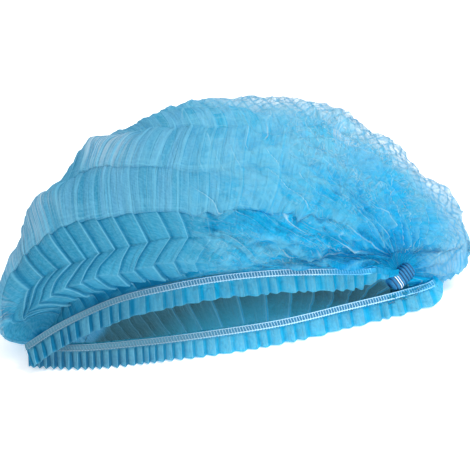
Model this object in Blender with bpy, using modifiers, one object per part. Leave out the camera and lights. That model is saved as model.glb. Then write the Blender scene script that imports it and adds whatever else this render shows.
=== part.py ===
# Disposable clip cap: a pleated nonwoven strip gathered at both ends, with two elastic rims.
# Metres, +Z up. The cap rests on its flattened underside, and its mouth faces -Y.
# The origin is in the middle of the resting face. X runs from gathered end to gathered end.
import bpy
import numpy as np

# Overall sizes of the cap as it lies.
LENGTH = 0.300
DEPTH = 0.140
HEIGHT = 0.120

# Cloth and margins.
WALL = 0.0012
CLEARANCE = 0.0003
UPPER_RUFFLE = 0.0145
LOWER_RUFFLE = 0.0150
RUFFLE_WAVE = 0.0013
PLEAT_BULGE = 0.0042
FLOOR_BLEND = 0.0030

# Elastic bands along the two rims.
BAND_WIDTH = 0.0040
BAND_THICK = 0.0009
# Share of the band's width left free at each edge, and how much of a ruffle's lean it takes up.
BAND_INSET = 0.06
BAND_LEAN = 0.4

# Ribbed bundles of pleat ends, one in each gathered end.
BUNDLE_RIBS = 9
BUNDLE_REACH = 0.0090
BUNDLE_GAP = 2 * CLEARANCE
# Height as a share of the room, how square the outline is, and where its ribs stop at each side.
BUNDLE_FLAT = 0.75
BUNDLE_SQUARE = 3.0
BUNDLE_ENDS = 0.93
# Depth of the grooves between ribs, and length of a rib's flat top, as shares of its size.
RIB_RELIEF = 0.12
RIB_FLAT = 0.6
# Columns: name, row of the cloth it sits in, side it faces, tilt of the stack in degrees,
# how far it stands out as a share of BUNDLE_REACH.
BUNDLES = (
    ("left_end_gather", 0, 1, 0, 0.20),
    ("right_end_gather", -1, -1, 15, 0.40),
)

# How finely the cloth is divided: steps along the cap, from fold to fold and across a ruffle.
STEPS_ALONG = 60
STEPS_PER_FOLD = 2
RUFFLE_STEPS = 2
# Steps from one wave of a ruffle to the next.
WAVE_STEPS = 4
# Where the cloth's first and last rows lie, as shares of the way between the tips.
ALONG_START = 0.045
ALONG_END = 0.942

# The line through the middle of the puffed crown, from its left tip to its right tip.
# Columns: share of LENGTH, share of DEPTH, share of HEIGHT.
LEFT_TIP = (-0.474, -0.190, 0.135)
RIGHT_TIP = (0.495, -0.230, 0.140)

# Where the pleats are gathered: the middle of each bundle. Same columns.
LEFT_GATHER = (-0.412, -0.235, 0.100)
RIGHT_GATHER = (0.308, -0.390, 0.188)

# The crown's folds at mid-length, from the upper rim over the top to the lower rim.
# The last row is the middle of the open mouth, which only closes the profile.
# Columns: fold, share of DEPTH, share of HEIGHT.
FOLDS = (
    ("upper rim", -0.436, 0.358),
    ("brow", -0.486, 0.483),
    ("front low", -0.479, 0.633),
    ("front high", -0.386, 0.792),
    ("front top", -0.229, 0.925),
    ("top", -0.043, 1.000),
    ("back top", 0.157, 0.983),
    ("back high", 0.329, 0.883),
    ("back middle", 0.443, 0.700),
    ("back low", 0.486, 0.483),
    ("heel", 0.471, 0.250),
    ("heel turn", 0.393, 0.025),
    ("under back", 0.214, -0.117),
    ("under middle", 0.029, -0.133),
    ("under front", -0.171, -0.100),
    ("under lip", -0.357, 0.017),
    ("lower rim", -0.486, 0.130),
    ("mouth", -0.500, 0.225),
)

# The two rims, along the middle of each elastic, from the left end to the right end.
# Columns: share of the way along, share of LENGTH, of DEPTH and of HEIGHT, then how far
# the ruffle leans forward and turns to the right, in degrees.
UPPER_RIM = (
    (0.00, -0.462, -0.320, 0.097, 48, 12),
    (0.05, -0.443, -0.336, 0.128, 46, 15),
    (0.10, -0.397, -0.356, 0.196, 42, 12),
    (0.18, -0.337, -0.360, 0.255, 34, 6),
    (0.28, -0.257, -0.350, 0.300, 28, 0),
    (0.40, -0.150, -0.371, 0.329, 25, 0),
    (0.52, -0.047, -0.414, 0.350, 22, 0),
    (0.64, 0.053, -0.450, 0.346, 20, 0),
    (0.76, 0.150, -0.464, 0.313, 10, 0),
    (0.88, 0.230, -0.443, 0.267, -12, 0),
    (1.00, 0.295, -0.400, 0.240, -35, 0),
)
LOWER_RIM = (
    (0.00, -0.455, -0.265, 0.100, 25, 0),
    (0.05, -0.438, -0.292, 0.103, 25, 0),
    (0.13, -0.365, -0.370, 0.100, 25, 0),
    (0.28, -0.227, -0.443, 0.100, 25, 0),
    (0.42, -0.093, -0.479, 0.100, 25, 0),
    (0.56, 0.047, -0.496, 0.100, 25, 0),
    (0.70, 0.183, -0.464, 0.100, 25, 0),
    (0.82, 0.293, -0.436, 0.100, 25, 5),
    (0.91, 0.367, -0.407, 0.104, 28, 25),
    (1.00, 0.385, -0.385, 0.140, 50, 60),
)

# How the pleats drift across the folds: near the left end each one climbs toward the back.
# DRIFT_EASE is the folds over which it starts from the upper rim and ends at the lower one.
# Columns: share of the way along, drift in folds.
DRIFT_EASE = (1.5, 4.0)
DRIFT = (
    (0.00, 0.0),
    (0.17, 1.5),
    (0.27, 1.1),
    (0.35, 0.4),
    (0.43, -0.2),
    (0.55, -0.5),
    (0.85, 0.0),
    (1.00, 0.0),
)

# How far each gathered end is drawn round from its tip, how sharply, and toward which fold.
LEFT_DRAW = (0.75, 3.0, 16.0)
RIGHT_DRAW = (1.30, 1.5, 17.0)
# Share of the length over which the cloth runs into its gather.
GATHER_SPAN = 0.3
# How pointed the crown is: at mid-length, then what the right end adds in depth and in height.
POINTED = 1.08
RIGHT_POINTED = (5.0, 3.2)
# Folds over which the crown runs into each rim, and how near the ends this narrows to one fold.
RIM_BLEND = 3.5
END_BLEND = 0.6

SIZE = np.array((LENGTH, DEPTH, HEIGHT))
PROFILE = np.array([row[1:] for row in FOLDS]) * SIZE[1:]
FOLD_COUNT = len(FOLDS) - 2
# The middle of the crown's profile, round which its folds are spread.
CORE = np.array((0.0, 0.45)) * SIZE[1:]

MATERIALS = {
    # name: colour, roughness, metallic
    "nonwoven_cloth": ((0.13, 0.45, 0.66, 1.0), 0.75, 0.0),
    "elastic_band": ((0.06, 0.24, 0.42, 1.0), 0.65, 0.0),
    "pleat_bundle": ((0.02, 0.16, 0.40, 1.0), 0.70, 0.0),
}


def closed_line(rows, t):
    """Smooth closed line through the rows, a row for each unit of t."""
    count = len(rows)
    t = np.asarray(t, float) % count
    i = np.floor(t).astype(int)
    f = (t - i)[..., None]
    a, b, c, d = (rows[(i + k) % count] for k in (-1, 0, 1, 2))
    square = 2 * a - 5 * b + 4 * c - d
    cube = 3 * b - a - 3 * c + d
    return 0.5 * (2 * b + (c - a) * f + square * f**2 + cube * f**3)


def table_line(table, t):
    """Smooth line through a table whose first column is the share of the way."""
    table = np.array(table, float)
    share, values = table[:, 0], table[:, 1:]
    slope = np.gradient(values, share, axis=0)
    i = np.clip(np.searchsorted(share, t, side="right") - 1, 0, len(share) - 2)
    step = (share[i + 1] - share[i])[..., None]
    f = (np.asarray(t, float) - share[i])[..., None] / step
    start = (2 * f**3 - 3 * f**2 + 1) * values[i] + (f**3 - 2 * f**2 + f) * step * slope[i]
    end = (3 * f**2 - 2 * f**3) * values[i + 1] + (f**3 - f**2) * step * slope[i + 1]
    return start + end


def smooth_step(x):
    """0 to 1 with level ends."""
    x = np.clip(x, 0.0, 1.0)
    return x * x * (3 - 2 * x)


def angle_round_core(points):
    """Angle of profile points round the middle of the crown."""
    away = points - CORE
    return np.arctan2(away[..., 1] / HEIGHT, away[..., 0] / DEPTH)


FINE_FOLD = np.linspace(0, len(FOLDS), 721)
FINE_ANGLE = np.unwrap(angle_round_core(closed_line(PROFILE, FINE_FOLD)))


def puffed_crown(along, fold):
    """The crown as one puffed form whose gathers are drawn round toward the mouth."""
    angle = np.interp(fold, FINE_FOLD, FINE_ANGLE)
    run = -np.cos(np.pi * along)
    ring = np.sin(np.pi * along)
    heading = np.stack([run, ring * np.cos(angle), ring * np.sin(angle)], -1)
    for sign, (far, sharp, toward) in ((-1, LEFT_DRAW), (1, RIGHT_DRAW)):
        aim = np.interp(toward, FINE_FOLD, FINE_ANGLE)
        draw = far * np.clip(sign * run, 0, None) ** sharp
        heading = heading + draw[..., None] * np.array((0.0, np.cos(aim), np.sin(aim)))
    heading /= np.linalg.norm(heading, axis=-1, keepdims=True)
    run = heading[..., 0]
    ring = np.sqrt(np.clip(1 - run**2, 0, 1))
    turned = np.arctan2(heading[..., 2], heading[..., 1])
    back = FINE_ANGLE[0] - (FINE_ANGLE[0] - turned) % (2 * np.pi)
    outline = closed_line(PROFILE, np.interp(-back, -FINE_ANGLE, FINE_FOLD))
    tips = np.array((LEFT_TIP, RIGHT_TIP)) * SIZE
    points = tips[0] + (tips[1] - tips[0]) * ((1 + run) / 2)[..., None]
    right = np.clip(run, 0, 1)[..., None]
    power = POINTED + right**4 * (1 - right) * np.array(RIGHT_POINTED)
    points[..., 1:] += ring[..., None] ** power * (outline - tips[:, 1:].mean(0))
    return points


def rim_frame(table, along):
    """Middle of the elastic, and the direction in which the ruffle hangs from it."""
    values = table_line(table, along)
    lean, turn = np.radians(values[..., 3]), np.radians(values[..., 4])
    hang = np.stack([np.sin(lean) * np.sin(turn), -np.sin(lean) * np.cos(turn), -np.cos(lean)], -1)
    return values[..., :3] * SIZE, hang


def above_floor(points):
    """Flattens what would go under the floor, with a soft edge round the flat."""
    z = points[..., 2]
    soft = (z + FLOOR_BLEND) ** 2 / (4 * FLOOR_BLEND)
    points[..., 2] = np.where(z > FLOOR_BLEND, z, np.where(z < -FLOOR_BLEND, 0.0, soft))
    return points


def crown_point(along, fold):
    """Outer face of the crown: the puffed form, run into both rims and both gathers."""
    along, fold = np.broadcast_arrays(np.asarray(along, float), np.asarray(fold, float))
    points = puffed_crown(along, fold)
    blend = 1 + (RIM_BLEND - 1) * smooth_step(np.sin(np.pi * along) / END_BLEND)
    upper = smooth_step(1 - fold / blend)[..., None]
    lower = smooth_step(1 - (FOLD_COUNT - fold) / blend)[..., None]
    rims = ((UPPER_RIM, 0.0, upper, 1), (LOWER_RIM, FOLD_COUNT, lower, -1))
    for table, place, share, side in rims:
        middle, hang = rim_frame(table, along)
        edge = middle - band_lean(hang, side) * BAND_WIDTH / 2
        points = points + (edge - puffed_crown(along, np.full_like(along, place))) * share
    rest = (1 - upper) * (1 - lower)
    for gather, end in ((LEFT_GATHER, 0.0), (RIGHT_GATHER, 1.0)):
        near = np.clip(1 - np.abs(along - end) / GATHER_SPAN, 0, 1)[..., None]
        miss = np.array(gather) * SIZE - puffed_crown(np.array(end), np.array(0.0))
        points = points + miss * near**2 * rest
    return points


def band_lean(hang, side):
    """Direction of the elastic's width, from the crown toward the ruffle."""
    lean = hang * np.array((BAND_LEAN, BAND_LEAN, 1.0)) if side > 0 else hang
    return lean / np.linalg.norm(lean, axis=-1, keepdims=True)


def cloth_grid():
    """Points of the whole strip: upper ruffle, upper band, crown, lower band, lower ruffle."""
    along = np.linspace(ALONG_START, ALONG_END, STEPS_ALONG + 1)
    wave = np.cos(2 * np.pi * np.arange(STEPS_ALONG + 1) / WAVE_STEPS)
    drift = np.interp(along, *np.array(DRIFT).T)
    shares = np.linspace(0, 1, RUFFLE_STEPS + 1)
    columns = []
    for share in shares[::-1]:
        columns.append(ruffle_column(UPPER_RIM, UPPER_RUFFLE, along, share, wave, 1))
    for step in range(FOLD_COUNT * STEPS_PER_FOLD + 1):
        fold = step / STEPS_PER_FOLD
        room = min(1.0, fold / DRIFT_EASE[0]) * min(1.0, (FOLD_COUNT - fold) / DRIFT_EASE[1])
        columns.append(crown_point(along, np.clip(fold + drift * room, 0, FOLD_COUNT)))
    for share in shares:
        columns.append(ruffle_column(LOWER_RIM, LOWER_RUFFLE, along, share, wave, -1))
    return along, np.stack(columns, 1)


def ruffle_column(table, width, along, share, wave, side):
    """One line of the ruffle: at share 0 the elastic's lower edge, at 1 the free edge."""
    middle, hang = rim_frame(table, along)
    start = middle + band_lean(hang, side) * BAND_WIDTH / 2
    run = np.gradient(middle, axis=0)
    out = np.cross(run, hang)
    out /= np.linalg.norm(out, axis=-1, keepdims=True)
    ripple = out * (wave * RUFFLE_WAVE * share)[..., None]
    return start + hang * (width - BAND_WIDTH) * share + ripple


def outward(points):
    """Unit normals of a grid of points, facing out of the crown."""
    across = np.gradient(points, axis=1)
    forward = np.gradient(points, axis=0)
    normal = np.cross(forward, across)
    return normal / np.maximum(np.linalg.norm(normal, axis=-1, keepdims=True), 1e-12)


def new_object(name, points, faces, material, collection):
    """A named object with one material, made from points and faces."""
    mesh = bpy.data.meshes.new(name)
    mesh.from_pydata([tuple(map(float, point)) for point in points], [], faces)
    mesh.update()
    obj = bpy.data.objects.new(name, mesh)
    obj.data.materials.append(material)
    collection.objects.link(obj)
    return obj


def grid_faces(rows, columns, closed=False):
    """Quads of a grid, with its columns joined in a ring when closed."""
    faces = []
    for i in range(rows - 1):
        for j in range(columns if closed else columns - 1):
            here, there = i * columns, (i + 1) * columns
            beside = (j + 1) % columns
            faces.append((here + j, there + j, there + beside, here + beside))
    return faces


def make_crown(material, collection):
    """The cloth: one sheet with scalloped pleats, flat underneath, with a wall inside it."""
    along, points = cloth_grid()
    first = RUFFLE_STEPS + 1
    last = first + FOLD_COUNT * STEPS_PER_FOLD
    fold = np.arange(last - first + 1) / STEPS_PER_FOLD
    swell = np.abs(np.sin(np.pi * fold)) * smooth_step(fold) * smooth_step((FOLD_COUNT - fold) / 2)
    swell = swell[None, :] * np.sin(np.pi * along)[:, None]
    middle = points[:, first:last + 1]
    middle += outward(middle) * (swell * PLEAT_BULGE)[..., None]
    points = above_floor(points)
    rows, columns = points.shape[:2]
    obj = new_object("crown", points.reshape(-1, 3), grid_faces(rows, columns), material, collection)
    wall = obj.modifiers.new("wall", "SOLIDIFY")
    wall.thickness = WALL
    wall.offset = -1.0
    return points, first, last


def make_band(name, points, columns, side, material, collection):
    """An elastic: a flat band along two neighbouring lines of the cloth, on one side of it."""
    near, far = (points[:, k] for k in columns)
    across = far - near
    out = np.cross(np.gradient((near + far) / 2, axis=0), across)
    out *= side / np.linalg.norm(out, axis=-1, keepdims=True)
    gap = CLEARANCE if side > 0 else WALL + CLEARANCE
    near = near + across * BAND_INSET + out * gap
    far = far - across * BAND_INSET + out * gap
    lift = out * BAND_THICK
    section = (near + lift, far + lift, far, near)
    if side < 0:
        section = (near, far, far + lift, near + lift)
    section = np.stack(section, 1)
    rows = len(section)
    last = (rows - 1) * 4
    faces = grid_faces(rows, 4, closed=True) + [(0, 1, 2, 3), (last + 3, last + 2, last + 1, last)]
    return new_object(name, section.reshape(-1, 3), faces, material, collection)


def make_bundle(name, ring, face, tilt, proud, material, collection):
    """Pleat ends stacked side by side: a ribbed plug that fits the opening left by the gather."""
    middle = ring.mean(0)
    spokes = np.cross(ring[:-1] - middle, ring[1:] - middle).sum(0)
    out = face * spokes / np.linalg.norm(spokes)
    level = np.cross((0.0, 0.0, 1.0), out)
    level /= np.linalg.norm(level)
    side = level * np.cos(tilt) + np.cross(out, level) * np.sin(tilt)
    rise = np.cross(out, side)
    flat = np.stack([(ring - middle) @ side, (ring - middle) @ rise], 1)
    low, high = flat.min(0), flat.max(0)
    centre = middle + side * (low[0] + high[0]) / 2 + rise * (low[1] + high[1]) / 2
    half = (high - low) / 2
    spread = np.abs((flat - (low + high) / 2) / half) ** BUNDLE_SQUARE
    half = half * (spread.sum(1).min() ** (1 / BUNDLE_SQUARE)) - BUNDLE_GAP
    half[1] *= BUNDLE_FLAT
    step = np.linspace(-1, 1, 2 * BUNDLE_RIBS + 1) * BUNDLE_ENDS
    rib = np.where(np.arange(len(step)) % 2, 1.0, 1 - RIB_RELIEF)
    tall = half[1] * (1 - np.abs(step) ** BUNDLE_SQUARE) ** (1 / BUNDLE_SQUARE) * rib
    deep = BUNDLE_REACH / 2 * rib
    quarter = ((-1, RIB_FLAT), (-RIB_FLAT, 1), (RIB_FLAT, 1), (1, RIB_FLAT))
    corners = np.array(quarter + tuple((-x, -y) for x, y in quarter))
    centre = centre + out * BUNDLE_REACH * (proud - 0.5)
    section = centre + (side * (half[0] * step)[:, None])[:, None]
    section = section + rise * (tall[:, None] * corners[:, 0])[..., None]
    section = section + out * (deep[:, None] * corners[:, 1])[..., None]
    rows, count = section.shape[:2]
    caps = [tuple(range(count)), tuple((rows - 1) * count + k for k in reversed(range(count)))]
    faces = grid_faces(rows, count, closed=True) + caps
    return new_object(name, section.reshape(-1, 3), faces, material, collection)


def clear_scene():
    for obj in list(bpy.data.objects):
        bpy.data.objects.remove(obj, do_unlink=True)


def make_material(name):
    colour, roughness, metallic = MATERIALS[name]
    material = bpy.data.materials.new(name)
    material.use_nodes = True
    shader = material.node_tree.nodes["Principled BSDF"]
    shader.inputs["Base Color"].default_value = colour
    shader.inputs["Roughness"].default_value = roughness
    shader.inputs["Metallic"].default_value = metallic
    return material


def main():
    clear_scene()
    collection = bpy.data.collections.new("clip_cap")
    bpy.context.scene.collection.children.link(collection)
    points, first, last = make_crown(make_material("nonwoven_cloth"), collection)
    elastic = make_material("elastic_band")
    make_band("front_elastic", points, (first - 1, first), 1, elastic, collection)
    make_band("back_elastic", points, (last, last + 1), -1, elastic, collection)
    pleats = make_material("pleat_bundle")
    for name, row, face, tilt, proud in BUNDLES:
        ring = points[row, first + STEPS_PER_FOLD:last - STEPS_PER_FOLD]
        make_bundle(name, ring, face, np.radians(tilt), proud, pleats, collection)


main()
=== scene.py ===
import math
from types import SimpleNamespace

import bpy
import numpy as np
from mathutils import Matrix, Vector


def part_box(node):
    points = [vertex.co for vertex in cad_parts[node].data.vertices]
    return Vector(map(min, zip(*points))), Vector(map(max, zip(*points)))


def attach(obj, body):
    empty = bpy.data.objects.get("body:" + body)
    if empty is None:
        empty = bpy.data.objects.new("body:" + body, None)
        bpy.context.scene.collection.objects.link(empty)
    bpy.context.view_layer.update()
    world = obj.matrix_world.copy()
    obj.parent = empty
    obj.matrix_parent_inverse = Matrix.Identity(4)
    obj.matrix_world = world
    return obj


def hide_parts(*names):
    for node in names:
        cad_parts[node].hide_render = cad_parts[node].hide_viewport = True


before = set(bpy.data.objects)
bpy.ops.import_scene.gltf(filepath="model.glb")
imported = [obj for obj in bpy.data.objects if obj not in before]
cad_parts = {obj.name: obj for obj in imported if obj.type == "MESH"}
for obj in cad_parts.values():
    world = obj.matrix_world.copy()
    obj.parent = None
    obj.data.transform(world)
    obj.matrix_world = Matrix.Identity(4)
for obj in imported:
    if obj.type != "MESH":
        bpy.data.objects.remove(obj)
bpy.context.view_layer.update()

# How the cap lies, in metres and in shares of its length, depth and height. It rests on its
# flattened underside with its mouth toward -Y, and X runs from gathered end to gathered end.
cap = {
    "size": np.array((0.300, 0.140, 0.120)),
    "core": 0.45,  # height that the fold angles are measured from
    "leftTip": (-0.474, -0.190, 0.135),
    "rightTip": (0.495, -0.230, 0.140),
    "leftGather": (-0.412, -0.235, 0.100),
    "rightGather": (0.308, -0.390, 0.188),
    "gatherSpan": 0.3,              # how far the cloth is drawn to a gather
    "leftDraw": (0.75, 3.0, 16.0),  # how far, how sharply, toward which fold
    "rightDraw": (1.30, 1.5, 17.0),
    "pointed": 1.08,                # power with which the ends narrow
    "rightPointed": (5.0, 3.2),     # what the right half adds to it, in depth and in height
    "rimBlend": 3.5,                # folds over which the crown runs into a rim
    "endBlend": 0.6,
    "floorBlend": 0.003,            # soft edge round the flat underside
    "bandWidth": 0.004,
    "bandLean": 0.4,                # share of the ruffle's lean that the upper band takes
    "alongStart": 0.045,            # where the rims and the pleats start and end
    "alongEnd": 0.942,
    "folds": 16,
    "shut": (0.02, 0.30, 0.65),       # rows that close each end, as shares of the end's ring
    "leftShut": (0.0, 0.0, -0.001),   # how far from the ring's middle they meet
    "rightShut": (0.0, 0.0, -0.004),
    # the folds at mid-length, from the upper rim over the top to the lower rim and the mouth
    "profile": (
        (-0.436, 0.358), (-0.486, 0.483), (-0.479, 0.633), (-0.386, 0.792), (-0.229, 0.925),
        (-0.043, 1.000), (0.157, 0.983), (0.329, 0.883), (0.443, 0.700), (0.486, 0.483),
        (0.471, 0.250), (0.393, 0.025), (0.214, -0.117), (0.029, -0.133), (-0.171, -0.100),
        (-0.357, 0.017), (-0.486, 0.130), (-0.500, 0.225),
    ),
    # share of the way along, drift in folds
    "drift": (
        (0.00, 0.0), (0.17, 1.5), (0.27, 1.1), (0.35, 0.4),
        (0.43, -0.2), (0.55, -0.5), (0.85, 0.0), (1.00, 0.0),
    ),
    "driftEase": (1.5, 4.0),  # folds from the upper and lower rim over which the drift starts
}

# The two rims, along the middle of each elastic: share of the way, then shares of length,
# depth and height, then how far the ruffle leans forward and turns to the right, in degrees.
upperRim = {
    "side": 1,
    "ruffle": 0.0145,
    "threadFullTone": (-0.105, -0.005),  # where the thread turns from grey to white, along X
    "threadDim": (0.036, 0.056),      # where it sinks into the cloth again
    "sunk": 0.85,                     # how deep
    "threadEnd": 0.905,
    "reach": 1.0,                     # how far along its ruffle goes
    "cover": 0.0090,                  # how far its end comes forward, over the gather
    "taper": (0.86, 1.00, 0.85),      # from where to where the ruffle narrows, and by what share
    "line": (
        (0.00, -0.462, -0.320, 0.097, 48, 12), (0.05, -0.443, -0.336, 0.128, 46, 15),
        (0.10, -0.397, -0.356, 0.196, 42, 12), (0.18, -0.337, -0.360, 0.255, 34, 6),
        (0.28, -0.257, -0.350, 0.300, 28, 0), (0.40, -0.150, -0.371, 0.329, 25, 0),
        (0.52, -0.047, -0.414, 0.350, 22, 0), (0.64, 0.053, -0.450, 0.346, 20, 0),
        (0.76, 0.150, -0.464, 0.313, 10, 0), (0.88, 0.230, -0.443, 0.267, -12, 0),
        (1.00, 0.295, -0.400, 0.240, -35, 0),
    ),
    # share of the way, distance from fold to fold of the ruffle, depth of its folds, sharpness
    "waves": ((0.0, 0.0056, 0.0024, 1.0), (0.15, 0.0062, 0.0024, 1.0), (0.30, 0.0076, 0.0021, 0.8),
              (0.60, 0.0078, 0.0014, 0.5), (1.0, 0.0070, 0.0012, 0.4)),
}
lowerRim = {
    "side": -1,
    "ruffle": 0.0150,
    "threadFullTone": (-0.080, 0.030),
    "threadDim": (0.072, 0.100),
    "sunk": 0.60,
    "threadEnd": 0.942,
    "reach": 0.985,
    "cover": 0.0,
    "taper": (0.90, 0.985, 0.60),
    "line": (
        (0.00, -0.455, -0.265, 0.100, 25, 0), (0.05, -0.438, -0.292, 0.103, 25, 0),
        (0.13, -0.365, -0.370, 0.100, 25, 0), (0.28, -0.227, -0.443, 0.100, 25, 0),
        (0.42, -0.093, -0.479, 0.100, 25, 0), (0.56, 0.047, -0.496, 0.100, 25, 0),
        (0.70, 0.183, -0.464, 0.100, 25, 0), (0.82, 0.293, -0.436, 0.100, 25, 5),
        (0.91, 0.367, -0.407, 0.104, 28, 25), (1.00, 0.385, -0.385, 0.140, 50, 60),
    ),
    "waves": ((0.0, 0.0046, 0.0021, 1.0), (0.33, 0.0052, 0.0020, 1.0), (0.45, 0.0072, 0.0013, 0.6),
              (0.65, 0.0088, 0.0011, 0.4), (1.0, 0.0088, 0.0011, 0.4)),
}

# The pleats on the crown. Long folds run from end to end, and creases cross them in a
# herringbone: each row below is one crease, with its share of the way along at the upper rim,
# at long folds 1 to 5 and at the lower rim.
pleats = {
    "creases": (
        (-2, .045, .045, .050, .055, .060, .065, .045),
        (-1, .070, .065, .085, .100, .120, .130, .075),
        (0, .095, .090, .135, .165, .190, .210, .105),
        (1, .120, .112, .172, .205, .243, .270, .135),
        (2, .138, .122, .191, .219, .256, .285, .160),
        (3, .162, .142, .210, .230, .268, .300, .185),
        (4, .200, .166, .231, .246, .285, .325, .215),
        (5, .236, .194, .254, .261, .300, .345, .245),
        (6, .262, .223, .279, .279, .317, .365, .275),
        (7, .292, .254, .306, .299, .333, .385, .305),
        (8, .327, .296, .330, .322, .347, .400, .335),
        (9, .360, .326, .360, .350, .367, .415, .365),
        (10, .399, .362, .396, .382, .400, .440, .395),
        (11, .438, .399, .424, .412, .425, .460, .425),
        (12, .475, .440, .462, .450, .460, .490, .460),
        (14, .550, .530, .545, .540, .550, .570, .535),
        (18, .690, .680, .690, .688, .692, .700, .680),
        (22, .820, .817, .820, .820, .820, .822, .815),
        (26, .942, .942, .942, .942, .942, .942, .942),
    ),
    # share of the way along, where long folds 1 to 5 lie among the cap's own folds
    "longFolds": (
        (.040, 5.60, 7.60, 9.20, 10.4, 11.4), (.113, 4.64, 6.40, 8.00, 9.30, 10.4),
        (.142, 3.20, 4.90, 6.60, 8.00, 9.20), (.165, 2.40, 3.90, 5.90, 7.50, 8.70),
        (.194, 1.92, 3.10, 5.20, 7.00, 8.30), (.223, 1.52, 2.50, 4.55, 6.60, 7.90),
        (.252, 1.40, 2.12, 3.80, 6.20, 7.50), (.277, 1.30, 1.98, 3.35, 5.80, 7.20),
        (.300, 1.22, 1.93, 3.05, 5.25, 6.90), (.345, 1.28, 1.95, 2.92, 4.44, 6.40),
        (.400, 1.40, 2.10, 2.84, 4.08, 5.70), (.460, 1.30, 2.10, 2.80, 3.80, 5.15),
        (.520, 1.15, 2.05, 2.85, 3.90, 5.00), (.600, 1.00, 2.00, 3.00, 4.00, 5.00),
        (1.00, 1.00, 2.00, 3.00, 4.00, 5.00),
    ),
    "stepsPerCrease": 16,
    "stepsPerFold": ((0, 20), (5, 14), (10, 6), (14, 10)),  # from this fold on, columns a fold
    "bulge": 0.0055,       # how far a band between long folds puffs out
    "tent": 0.0050,        # how far the herringbone's first crest stands out, at fold 1
    "lip": 0.0030,         # how far the upper bands hang over the folds below them
    "creaseDepth": 0.0024,
    "crinkleDepth": 0.0007,
    "boxDepth": 0.0034,       # crumples between mid-length and the right half, along the pleats
    "crumpleDepth": 0.0046,   # crumples of the right half, in all directions
    "fanDepth": 0.0034,       # folds that run out from the right gather
    "crossDepth": 0.0026,     # folds that cross them
    "foldFall": 0.16,         # share of such a fold in which it falls
    "looseLift": 0.0022,      # how far the right half stands out instead of its long folds
    "puffDepth": 0.0024,
    "poolDepth": 0.0022,
    "longCreaseDepth": 0.0022,
    "outlineDepth": 0.0030,
    "coverDepth": 0.0060,     # how far the cloth hangs over the upper elastic's right part
    "coverLift": 0.0040,
    "inset": 0.0012,          # how far the pleats start under the smooth crown
    # share of the way along, the fold on which the sheer crest lies
    "sheerCrest": (
        (0.0, 4.6), (0.225, 4.9), (0.298, 5.4), (0.363, 6.2), (0.49, 6.6), (0.59, 7.0),
        (0.70, 7.3), (0.85, 8.0), (1.0, 8.0),
    ),
    "flatScale": (0.42, 0.020),  # metres for the whole way along, and for one fold
}

# Places on the right half that are deep in the cloth, where its colour is strongest, and places
# that puff up: share of the way, fold, how far along and across they reach, strength.
deepPools = (
    (.457, 2.24, .012, .22, 0.8), (.500, 2.32, .010, .30, 0.9), (.536, 2.30, .012, .35, 1.0),
    (.584, 2.10, .018, .35, 1.0), (.660, 2.05, .030, .40, 1.1), (.762, 1.60, .035, .45, 1.1),
    (.890, 1.00, .040, .80, 1.0), (.933, 3.80, .030, 1.6, 0.8), (.600, 3.00, .014, .35, 0.9),
    (.625, 3.40, .012, .35, 0.8), (.671, 4.00, .014, .35, 0.7), (.689, 3.60, .020, .30, 0.7),
    (.811, 3.90, .040, .60, 1.0), (.838, 5.50, .030, .50, 0.7), (.707, 5.30, .016, .30, 0.7),
    (.740, 2.75, .050, .40, 0.9),
    (.302, .25, .030, .35, 1.0), (.345, .25, .020, .30, 0.9), (.388, .22, .020, .28, 1.0),
    (.440, .30, .025, .25, 0.9), (.545, .20, .040, .20, 0.6), (.240, .30, .030, .35, 0.6),
)
puffs = (
    (.548, .88, .018, .40, 1.0), (.586, 1.08, .020, .45, 1.0), (.660, .55, .030, .35, 0.9),
    (.740, .55, .035, .40, 0.8), (.834, .60, .030, .50, 0.6), (.529, 2.80, .018, .30, 0.9),
    (.473, 2.62, .018, .30, 0.8), (.538, 3.44, .022, .38, 0.8), (.609, 4.10, .018, .40, 1.0),
    (.746, 4.00, .030, .50, 1.0), (.685, 4.95, .022, .45, 0.9), (.820, 6.70, .045, .70, 1.0),
    (.721, 7.16, .022, .50, 1.0), (.760, 5.60, .024, .50, 0.9), (.575, 4.45, .020, .35, 0.8),
    (.518, 4.40, .024, .35, 0.7), (.464, 1.75, .020, .30, 0.8), (.620, 6.20, .030, .60, 1.1),
    (.660, 6.90, .022, .50, 1.0), (.870, 8.00, .040, .90, 1.0), (.555, 6.60, .030, .60, 0.8),
    (.500, .95, .018, .35, 0.9), (.628, 1.45, .016, .30, 0.9), (.690, 1.15, .020, .35, 0.9),
)
# Dents and puffs that scallop the outline, in the same columns; a dent's strength is negative.
outlinePuffs = (
    (.190, 7.4, .022, 1.3, 1.1), (.268, 6.6, .017, 1.3, 1.4), (.344, 6.3, .022, 1.4, 2.2),
    (.455, 6.3, .045, 1.4, 0.7), (.550, 6.1, .025, 1.2, -0.6), (.620, 6.7, .013, 1.2, 0.8),
    (.653, 6.6, .010, 1.2, -0.7), (.687, 7.3, .008, 1.2, -0.9), (.735, 7.8, .026, 1.6, -1.2),
    (.765, 8.6, .024, 1.6, -1.8), (.235, 7.0, .010, 1.2, -0.6), (.300, 6.8, .010, 1.2, -0.6),
    (.395, 6.2, .012, 1.3, -0.5), (.830, 9.6, .050, 1.5, 1.3),
)
# Where light comes through the outermost pleats at the left, in the same columns.
glints = (
    (.245, 6.6, .016, 0.9, 1.0), (.268, 6.2, .012, 0.8, 0.7), (.215, 7.0, .014, 0.8, 0.6),
    (.345, 5.9, .018, 0.9, 0.9), (.372, 5.7, .014, 0.7, 0.7), (.170, 7.6, .012, 1.0, 0.6),
    (.150, 7.4, .010, 0.9, 0.5), (.636, 5.36, .008, .12, 2.0),
)
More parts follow.
